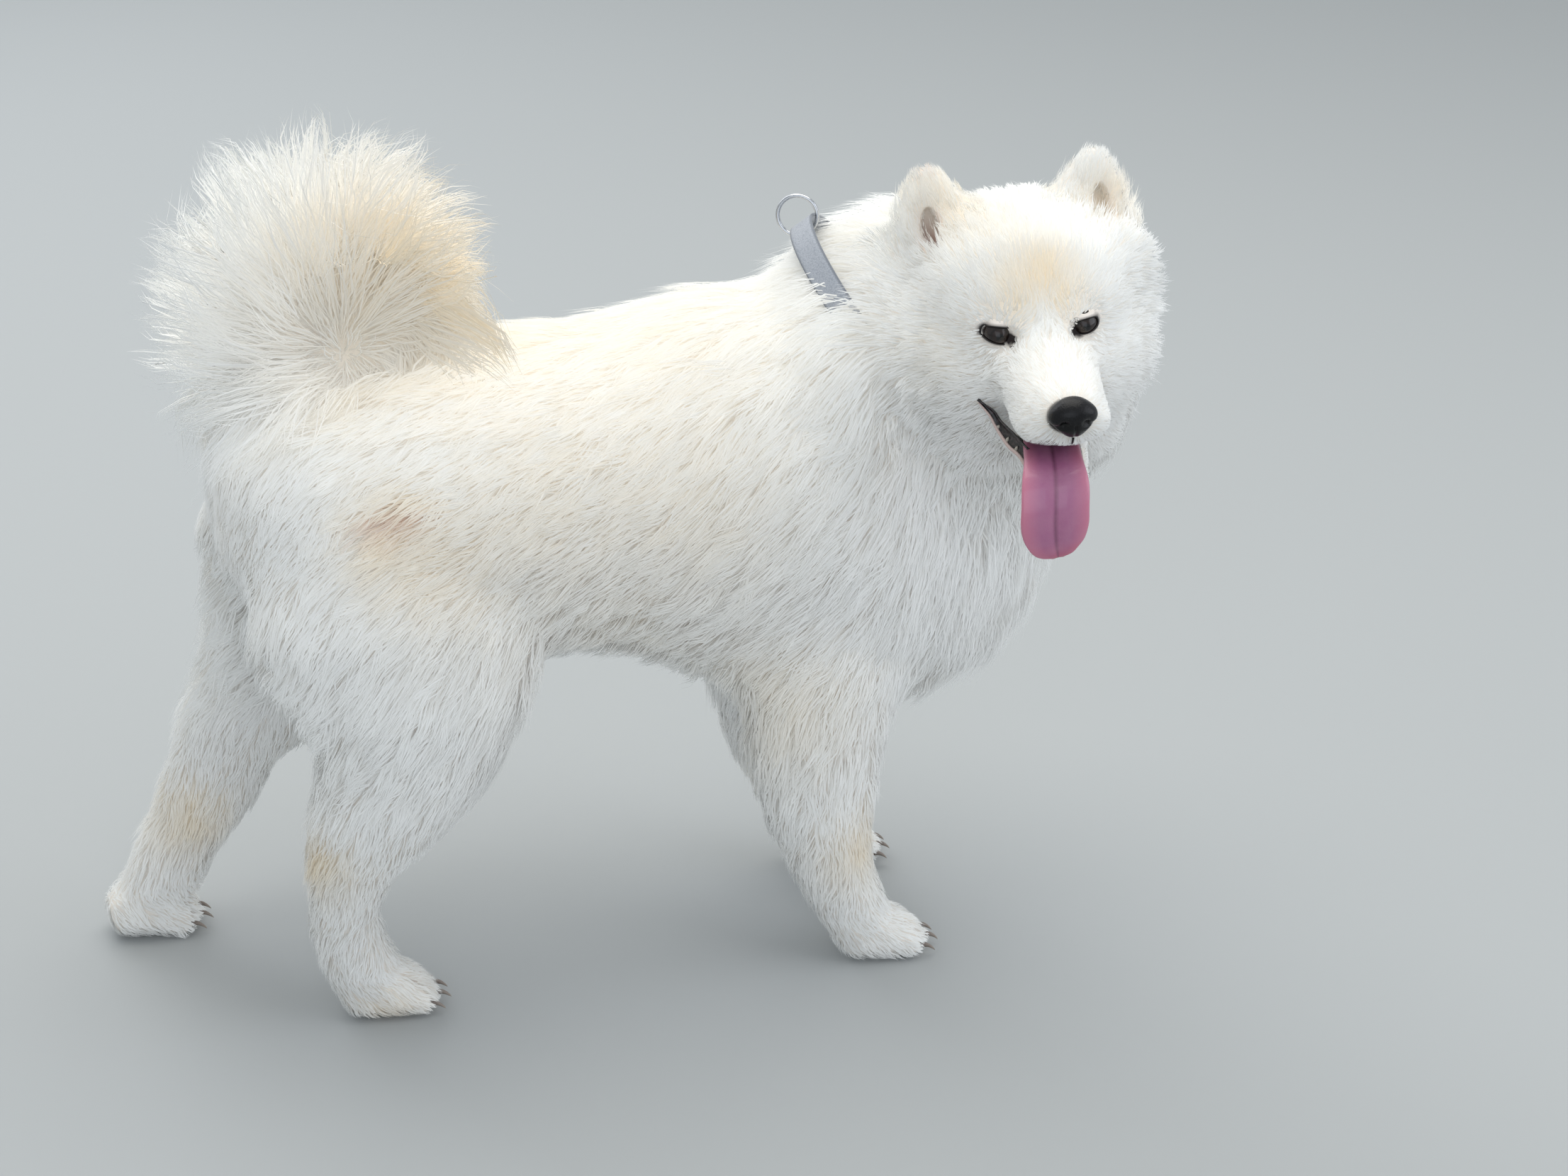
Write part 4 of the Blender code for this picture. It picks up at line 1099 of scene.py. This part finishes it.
eye_finish, lid_finish = eye_material(), lid_material()
BALL_RADIUS = EYE_RADIUS - 1.1 * MM
for side, name, half_width, arch, dip in ((1, "right", 12.3, 6.9, 5.2), (-1, "left", 9.8, 5.9, 4.6)):
    centre = np.array((side * EYE_SPREAD / 2, -EYE_DEPTH, 0.0))
    turns = np.linspace(0.0, tau, 40, endpoint=False)
    rings, polar = [], []
    for angle in np.linspace(0.02, pi - 0.02, 34):
        reach = BALL_RADIUS + 0.9 * MM * np.exp(-(angle / 0.45) ** 2)
        around = np.stack((np.cos(turns) * sin(angle), np.full(40, cos(angle)), np.sin(turns) * sin(angle)), axis=1)
        rings.append(from_head(centre + reach * around))
        polar.append([angle] * 40)
    ball = bmesh.new()
    add_rings(ball, rings, marks={"polar": polar})
    finished("eyeball_" + name, ball, eye_finish, "eye", "eye_" + name)

    high = np.where(np.sin(turns) > 0.0, arch * (1.0 - 0.20 * np.cos(turns)), dip * (1.0 + 0.15 * np.cos(turns))) * MM
    u, w = half_width * MM * np.cos(turns), high * np.sign(np.sin(turns)) * np.abs(np.sin(turns)) ** 0.75
    u, w = u * cos(SLANT) - w * sin(SLANT), u * sin(SLANT) + w * cos(SLANT)
    rings, rim = [], []
    for scale, lift, shade, back in ((0.96, 0.2, 1.0, 0), (1.0, 0.9, 1.0, 0), (1.08, 1.2, 1.0, 0), (1.17, 1.2, 0.6, 0),
                                     (1.34, 1.0, 0.1, 0), (1.60, 0.0, 0.0, 0), (1.60, 0.0, 0.0, 4), (1.0, -2.0, 1.0, 0)):
        x, z = side * u * scale, w * scale
        ball_front = np.sqrt(np.maximum((BALL_RADIUS + lift * MM) ** 2 - x * x - z * z, 0.0)) - EYE_DEPTH
        far = np.array([skin_front(centre[0] + one, two) for one, two in zip(x, z)]) - (0.6 + back) * MM
        near = np.maximum(ball_front, far - (1.6 - 1.0 * step(1.0, 1.3, scale)) * MM) + min(lift, 0.0) * MM
        y = np.where(scale < 1.5, near, far)
        rings.append(from_head(np.stack((centre[0] + x, y, z), axis=1)))
        rim.append([shade] * 40)
    lids = bmesh.new()
    add_rings(lids, rings, joined=True, marks={"rim": rim})
    finished("eyelids_" + name, lids, lid_finish, "skin")
print("eyes and lids made")

# %% [markdown]
# Nose. Bare black leather, cobbled at about a millimetre, with a nostril opening to each side and a
# groove down the middle that runs on as a thin line to the lip. The nostrils, the folds beside them and
# the lower half are painted near-black, as shade.

# %% Nose
def nose_rings():
    turns = np.linspace(0.0, tau, 56, endpoint=False)
    for angle in np.linspace(0.03, pi - 0.03, 44):
        around = np.stack((np.cos(turns) * sin(angle), np.full(56, cos(angle)), np.sin(turns) * sin(angle)), axis=1)
        x, y, z = (around * np.array((17.8, 12.5, 14.8))).T
        x = x * (1.0 - 0.30 * step(1.0, -12.0, z)) * (1.0 - 0.10 * step(4.0, 13.0, z))
        y = y + 1.2 * step(0.0, 8.0, z) * (y > 0)
        nostril = np.exp(-((np.abs(x) - 8.0) / 3.1) ** 2 - ((z + 2.0) / 2.6) ** 2)
        comma = np.exp(-((np.abs(x) - 12.6) / 3.8) ** 2 - ((z + 4.2) / 1.5) ** 2)
        groove = np.exp(-(x / 1.0) ** 2) * step(2.0, -5.0, z)
        y = y - (y > 0) * (4.2 * nostril + 2.6 * comma + 1.8 * groove)
        # the second value is painted shade: near-black in the nostrils and the folds beside them, and on the lower
        # half, which faces down
        yield from_head(np.stack((x, y, z), axis=1) * MM + NOSE_PLACE), (y > 0) * np.clip(1.3 * nostril + comma + 0.7 * step(3.0, -5.0, z), 0.0, 1.0)


def nose_material():
    made, tree, shader = new_material("nose_leather", Roughness=0.32, Specular_IOR_Level=0.30)
    place = add(tree, "ShaderNodeTexCoord").outputs["Object"]
    cobbles = add(tree, "ShaderNodeTexVoronoi", {"Vector": place, "Scale": 950.0}).outputs["Distance"]
    colour = mix_colour(tree, cobbles, linear("0E0D11"), linear("060607"))
    # painted shade: the nostrils and the lower half darken to near-black
    colour = mix_colour(tree, attribute(tree, "nose_shade"), colour, linear("010101"))
    tree.links.new(colour, shader.inputs["Base Color"])
    bump = add(tree, "ShaderNodeBump", {0: 0.5, 1: 0.25 * MM, "Height": cobbles}, invert=True).outputs[0]
    tree.links.new(bump, shader.inputs["Normal"])
    return made


leather = nose_material()
nose = bmesh.new()
nose_rows, nose_shade_rows = zip(*nose_rings())
add_rings(nose, nose_rows, marks={"nose_shade": nose_shade_rows})
finished("nose_pad", nose, leather, "nose_leather", "nose")
line = [(0.0, skin_front(0.0, z) + 2.4 * MM, z) for z in np.linspace(-0.0475, -0.0580, 12)]
split = bmesh.new()
tube(split, from_head(line), np.full(12, 0.8 * MM), 8)
finished("lip_split", split, leather, "nose_leather")
print("nose made")

# %% [markdown]
# Lips. The corner of the mouth is drawn back and shows the bare, wet, black inside of the lips as a
# narrow band, with the tips of the cheek teeth in it and a pale pink edge below. The band is a thin
# closed sheet over the side of the jaw, hollowed a little, and the edge is a soft roll along it. Its
# black is the lips' own colour and also painted shade of the open mouth behind them.

# %% Lips and cheek teeth
def lips_material():
    made, tree, shader = new_material("lip_skin", Roughness=0.38, Coat_Weight=0.2, Coat_Roughness=0.2)
    place = add(tree, "ShaderNodeTexCoord").outputs["Object"]
    mottle = add(tree, "ShaderNodeTexNoise", {0: place, 2: 420.0, 3: 3.0}).outputs[0]
    # the black is the lips' own and also painted shade of the open mouth's gap
    colour = mix_colour(tree, ranged(tree, mottle, 0.52, 0.68, 0.0, 0.55), linear("120F11"), linear("5B4A4C"))
    colour = mix_colour(tree, attribute(tree, "rim"), colour, linear("CDB7B0"))
    tree.links.new(colour, shader.inputs["Base Color"])
    bump = add(tree, "ShaderNodeBump", {0: 0.5, 1: 0.3 * MM, "Height": mottle}).outputs[0]
    tree.links.new(bump, shader.inputs["Normal"])
    return made


def tooth_material():
    made, tree, shader = new_material("tooth_enamel", Roughness=0.25)
    place = add(tree, "ShaderNodeTexCoord").outputs["Object"]
    cloud = add(tree, "ShaderNodeTexNoise", {0: place, 2: 600.0, 3: 2.0}).outputs[0]
    colour = mix_colour(tree, cloud, linear("9C958A"), linear("BDB6AA"))
    tree.links.new(colour, shader.inputs["Base Color"])
    return made


lip_finish, enamel = lips_material(), tooth_material()
for side, name in ((1, "right"), (-1, "left")):
    upper, lower = lip_lines(side)
    across = unit(lower - upper)
    outward = unit(np.cross(np.gradient(upper, axis=0), across)) * side
    outward *= np.sign(outward[:, 1:2] + 1e-9)
    rings = []
    count = len(upper)
    for at in range(count):
        front, back = [], []
        for down in np.linspace(0.0, 1.0, 8):
            spot = upper[at] + down * (lower[at] - upper[at])
            front.append(spot - outward[at] * 2.0 * MM * sin(pi * down))
            back.append(spot - outward[at] * (1.5 * MM + 2.0 * MM * sin(pi * down)))
        rings.append(from_head(front + back[::-1]))
    lips = bmesh.new()
    add_rings(lips, rings, marks={"rim": np.zeros((count, 16))})
    thick = 1.5 * MM * np.sin(np.linspace(0.12, 0.5, count) * pi)
    tube(lips, from_head(lower), thick * (1.0 if side > 0 else 0.7), 10, marks={"rim": np.full((count, 10), 0.9)})
    tube(lips, from_head(upper), 0.6 * thick, 8, marks={"rim": np.full((count, 8), 0.0)})
    finished("lips_" + name, lips, lip_finish, "skin")
    if side < 0:
        continue
    teeth = bmesh.new()
    for at in (11, 15, 19):
        foot = lower[at] + 0.05 * (upper[at] - lower[at]) - outward[at] * 1.2 * MM
        tall = 0.34 * (upper[at] - lower[at])
        path = np.array([foot + share * tall for share in (0.0, 0.4, 0.75, 1.0)])
        tube(teeth, from_head(path), np.array((1.5, 1.35, 0.9, 0.25)) * MM, 8)
    finished("cheek_teeth", teeth, enamel, "tooth")
print("lips and teeth made")

# %% [markdown]
# Tongue. It lies in the floor of the mouth, rolls over the lower teeth and hangs. It has a groove down
# its middle, fine papillae, and a wet gloss. Its edges are pinker than the middle and its tip is redder.
# Painted shade darkens it along its middle line and at its back, inside the mouth.

# %% Tongue
# x, y, z of the middle, half thickness and half width in mm, in the head's frame
TONGUE = (
    (2, 20, -65.0, 2.4, 14.0), (6, 45, -69.0, 3.2, 19.5), (9, 66, -74.5, 3.4, 21.5), (11, 79, -84.0, 3.4, 23.5),
    (13, 86, -98.0, 3.4, 25.0), (14, 87, -114.0, 3.3, 24.6), (13, 84.5, -130.0, 3.0, 20.5), (11.5, 82, -139.0, 2.3, 13.0),
    (11, 81, -142.5, 0.8, 4.0),
)
rows = smooth_row(TONGUE, 46) * MM
middle_line = rows[:, :3]
heading = unit(np.gradient(middle_line, axis=0))
turns = np.linspace(0.0, tau, 36, endpoint=False)
rings, across_marks, along_marks = [], [], []
for at, (spot, ahead) in enumerate(zip(middle_line, heading)):
    along = at / 45
    front = np.cross((1.0, 0.0, 0.0), ahead)
    front /= np.linalg.norm(front)
    beside = np.cross(ahead, front)
    beside *= np.sign(beside[0])
    thick_here, wide_here = rows[at, 3], rows[at, 4] * (1.0 + 0.018 * sin(along * 21.0))
    x = wide_here * np.cos(turns)
    y = thick_here * np.sign(np.sin(turns)) * np.abs(np.sin(turns)) ** 0.8
    groove = np.exp(-(x / (1.9 * MM)) ** 2) * (y > 0) * step(1.0, 0.72, along)
    y = y - 1.7 * MM * groove + 0.9 * MM * (np.cos(turns) ** 2) * (y > 0)
    rings.append(from_head(spot + np.outer(x, beside) + np.outer(y, front)))
    across_marks.append(np.abs(np.cos(turns)))
    along_marks.append([along] * 36)
tongue = bmesh.new()
add_rings(tongue, rings, marks={"across": across_marks, "along": along_marks})


def tongue_material():
    made, tree, shader = new_material("wet_tongue", Roughness=0.34, Coat_Weight=0.5, Coat_Roughness=0.12)
    across, along = attribute(tree, "across"), attribute(tree, "along")
    place = add(tree, "ShaderNodeTexCoord").outputs["Object"]
    grain = add(tree, "ShaderNodeTexNoise", {0: place, 2: 1300.0, 3: 3.0}).outputs[0]
    blotch = add(tree, "ShaderNodeTexNoise", {0: place, 2: 90.0, 3: 2.0}).outputs[0]
    colour = mix_colour(tree, ranged(tree, across, 0.45, 0.95, 0.0, 1.0), linear("A8668A"), linear("C87790"))
    colour = mix_colour(tree, ranged(tree, along, 0.72, 1.0, 0.0, 0.9), colour, linear("BE5068"))
    # painted shade along the middle line, where the groove runs
    colour = mix_colour(tree, ranged(tree, across, 0.0, 0.10, 0.75, 0.0), colour, linear("76405E"))
    # painted shade on the back of the tongue, inside the mouth
    colour = mix_colour(tree, ranged(tree, along, 0.30, 0.0, 0.0, 0.9), colour, linear("4C2433"))
    colour = mix_colour(tree, ranged(tree, blotch, 0.4, 0.7, 0.0, 0.30), colour, linear("B97F98"))
    tree.links.new(colour, shader.inputs["Base Color"])
    bump = add(tree, "ShaderNodeBump", {0: 0.5, 1: 0.35 * MM, "Height": grain}).outputs[0]
    tree.links.new(bump, shader.inputs["Normal"])
    return made


finished("tongue_surface", tongue, tongue_material(), "tongue", "tongue")
print("tongue made")

# %% [markdown]
# Claws. Grey-brown horn, darker at the root, curved down and blunt from wear.

# %% Claws
CLAW_LENGTH = 16.0
TOES = ((-22.5, 18.6), (-7.5, 26.2), (7.5, 26.2), (22.5, 18.6))
CLAW = ((0.45, 12.5, 2.2), (0.75, 11.8, 2.0), (0.96, 10.0, 1.65), (1.13, 7.6, 1.1), (1.22, 5.8, 0.5))


def claw_material():
    made, tree, shader = new_material("claw_horn", Roughness=0.38)
    place = add(tree, "ShaderNodeTexCoord").outputs["Object"]
    grain = add(tree, "ShaderNodeTexNoise", {0: place, 2: 500.0, 3: 2.0}).outputs[0]
    colour = mix_colour(tree, attribute(tree, "along"), linear("5C504A"), linear("A4988C"))
    colour = mix_colour(tree, ranged(tree, grain, 0.3, 0.7, 0.0, 0.25), colour, linear("A59A8E"))
    tree.links.new(colour, shader.inputs["Base Color"])
    return made


horn = claw_material()
turns = np.linspace(0.0, tau, 12, endpoint=False)
for leg, (foot_x, foot_y) in FEET.items():
    claws = bmesh.new()
    for across, ahead in TOES:
        rows = smooth_row(CLAW, 12)
        path = np.stack((foot_x + (ahead + rows[:, 0] * CLAW_LENGTH) * MM, np.full(12, foot_y + across * MM), rows[:, 1] * MM), axis=1)
        rings = [
            from_own(spot + radius * MM * np.stack((np.zeros(12), 0.8 * np.cos(turns), np.sin(turns)), axis=1))
            for spot, radius in zip(path, rows[:, 2])
        ]
        add_rings(claws, rings, marks={"along": [[at / 11] * 12 for at in range(12)]})
    names = [f"claw_{leg}_{number}" for number in (1, 2, 3, 4)]
    finished("claws_" + leg, claws, horn, "claw_horn", *names)
print("claws made")

# %% [markdown]
# Collar. Pale flat webbing, woven in a fine rib of 1.2 mm, with a darker bound edge, and a steel ring.

# %% Collar
COLLAR_TOP = Vector((0.112, 0.006, 0.584))
COLLAR_THROAT = Vector((0.203, -0.066, 0.442))
COLLAR_HALF_WIDTH = 60.0 * MM
STRAP_WIDTH = 20.0 * MM
STRAP_THICKNESS = 2.4 * MM
nape = (COLLAR_TOP - COLLAR_THROAT).normalized()
along_neck = nape.cross(Vector((0.35, 0.94, 0.0))).normalized()
over_neck = nape.cross(along_neck)
collar_axes = np.array(Matrix((over_neck, nape, along_neck)).transposed())
collar_middle = np.array((COLLAR_TOP + COLLAR_THROAT) / 2)


def from_collar(points):
    return from_own(np.asarray(points) @ collar_axes.T + collar_middle)


half_height = (COLLAR_TOP - COLLAR_THROAT).length / 2
profile = [(-0.5, -0.3), (-0.5, 0.3), (-0.46, 0.5), (-0.25, 0.5), (0.0, 0.5), (0.25, 0.5), (0.46, 0.5), (0.5, 0.3),
           (0.5, -0.3), (0.46, -0.5), (0.0, -0.5), (-0.46, -0.5)]
rings, round_marks, over_marks = [], [], []
for turn in np.linspace(0.0, tau, 120, endpoint=False):
    out = np.array((cos(turn) / COLLAR_HALF_WIDTH, sin(turn) / half_height))
    out /= np.linalg.norm(out)
    spot = np.array((COLLAR_HALF_WIDTH * cos(turn), half_height * sin(turn)))
    rings.append(from_collar([(*(spot + out * level * STRAP_THICKNESS), wide * STRAP_WIDTH) for wide, level in profile]))
    round_marks.append([turn] * len(profile))
    over_marks.append([abs(wide) for wide, _ in profile])
strap = bmesh.new()
add_rings(strap, rings, joined=True, marks={"along": round_marks, "across": over_marks})


def webbing_material():
    made, tree, shader = new_material("collar_webbing", Roughness=0.75, Sheen_Weight=0.2)
    place = add(tree, "ShaderNodeTexCoord").outputs["Object"]
    rib = add(tree, "ShaderNodeTexVoronoi", {"Vector": place, "Scale": 900.0}).outputs["Distance"]
    colour = mix_colour(tree, rib, linear("B9BDC4"), linear("9A9FA8"))
    colour = mix_colour(tree, ranged(tree, attribute(tree, "across"), 0.40, 0.47, 0.0, 0.8), colour, linear("6F747C"))
    tree.links.new(colour, shader.inputs["Base Color"])
    bump = add(tree, "ShaderNodeBump", {0: 0.6, 1: 0.3 * MM, "Height": rib}).outputs[0]
    tree.links.new(bump, shader.inputs["Normal"])
    return made


finished("collar_webbing", strap, webbing_material(), "webbing", "collar_strap")

RING_RADIUS = 15.0 * MM
RING_WIRE = 1.6 * MM
RING_RISE = 6.2 * MM
turns = np.linspace(0.0, tau, 16, endpoint=False)
rings = []
for turn in np.linspace(0.0, tau, 56, endpoint=False):
    out = np.array((0.0, sin(turn), cos(turn)))
    middle_spot = RING_RADIUS * out + np.array((0.0, RING_RISE, 0.0))
    ring_points = [middle_spot + RING_WIRE * (cos(one) * out + sin(one) * np.array((1.0, 0.0, 0.0))) for one in turns]
    rings.append(from_own(np.array(ring_points) @ collar_axes.T + np.array(COLLAR_TOP)))
hoop = bmesh.new()
add_rings(hoop, rings, joined=True)
steel, steel_tree, steel_shader = new_material("nickel_plated_steel", Base_Color=linear("C6C8CB"), Metallic=1.0)
scratches = add(steel_tree, "ShaderNodeTexNoise", {
    0: add(steel_tree, "ShaderNodeTexCoord").outputs["Object"], 2: 1500.0, 3: 3.0}).outputs[0]
steel_tree.links.new(ranged(steel_tree, scratches, 0.3, 0.7, 0.16, 0.32), steel_shader.inputs["Roughness"])
finished("collar_ring_steel", hoop, steel, "steel", "collar_ring")
print("collar made")

# %% [markdown]
# The floor is plain and pale. Light comes from a large soft panel high on the camera's side, as the sky
# gave it, with a weaker panel from the other side and a soft grey surround.

# %% Floor, lights and surround
floor_shape = bmesh.new()
bmesh.ops.create_grid(floor_shape, x_segments=1, y_segments=1, size=8.0)
floor_mesh = bpy.data.meshes.new("floor")
floor_shape.to_mesh(floor_mesh)
floor_shape.free()
floor = bpy.data.objects.new("floor", floor_mesh)
bpy.context.scene.collection.objects.link(floor)
floor_finish, _, _ = new_material("studio_floor_paint", Base_Color=linear("AFB2B2"), Roughness=0.7)
floor_mesh.materials.append(floor_finish)


def soft_light(name, place, size, watts, colour):
    data = bpy.data.lights.new(name, "AREA")
    data.size = size
    data.energy = watts
    data.color = linear(colour)[:3]
    light = bpy.data.objects.new(name, data)
    light.location = place
    light.rotation_euler = (Vector((0.0, 0.0, 0.3)) - Vector(place)).to_track_quat("-Z", "Y").to_euler()
    bpy.context.scene.collection.objects.link(light)


soft_light("sky_panel", (0.3, 0.5, 3.1), 3.2, 64.0, "FFFCF6")
soft_light("front_panel", (-1.0, -3.2, 1.4), 3.0, 27.0, "EEF4FF")
soft_light("side_panel", (2.9, -1.4, 1.5), 2.6, 30.0, "F2F6FF")
soft_light("back_panel", (-0.8, 2.9, 2.0), 2.4, 30.0, "F7FAFF")
world = bpy.data.worlds.new("surround")
world.use_nodes = True
surround = world.node_tree.nodes["Background"]
surround.inputs["Color"].default_value = linear("E8EFF4")
surround.inputs["Strength"].default_value = 0.62
bpy.context.scene.world = world
bpy.context.scene.view_settings.view_transform = "Standard"
print("lit by four panels and the surround")
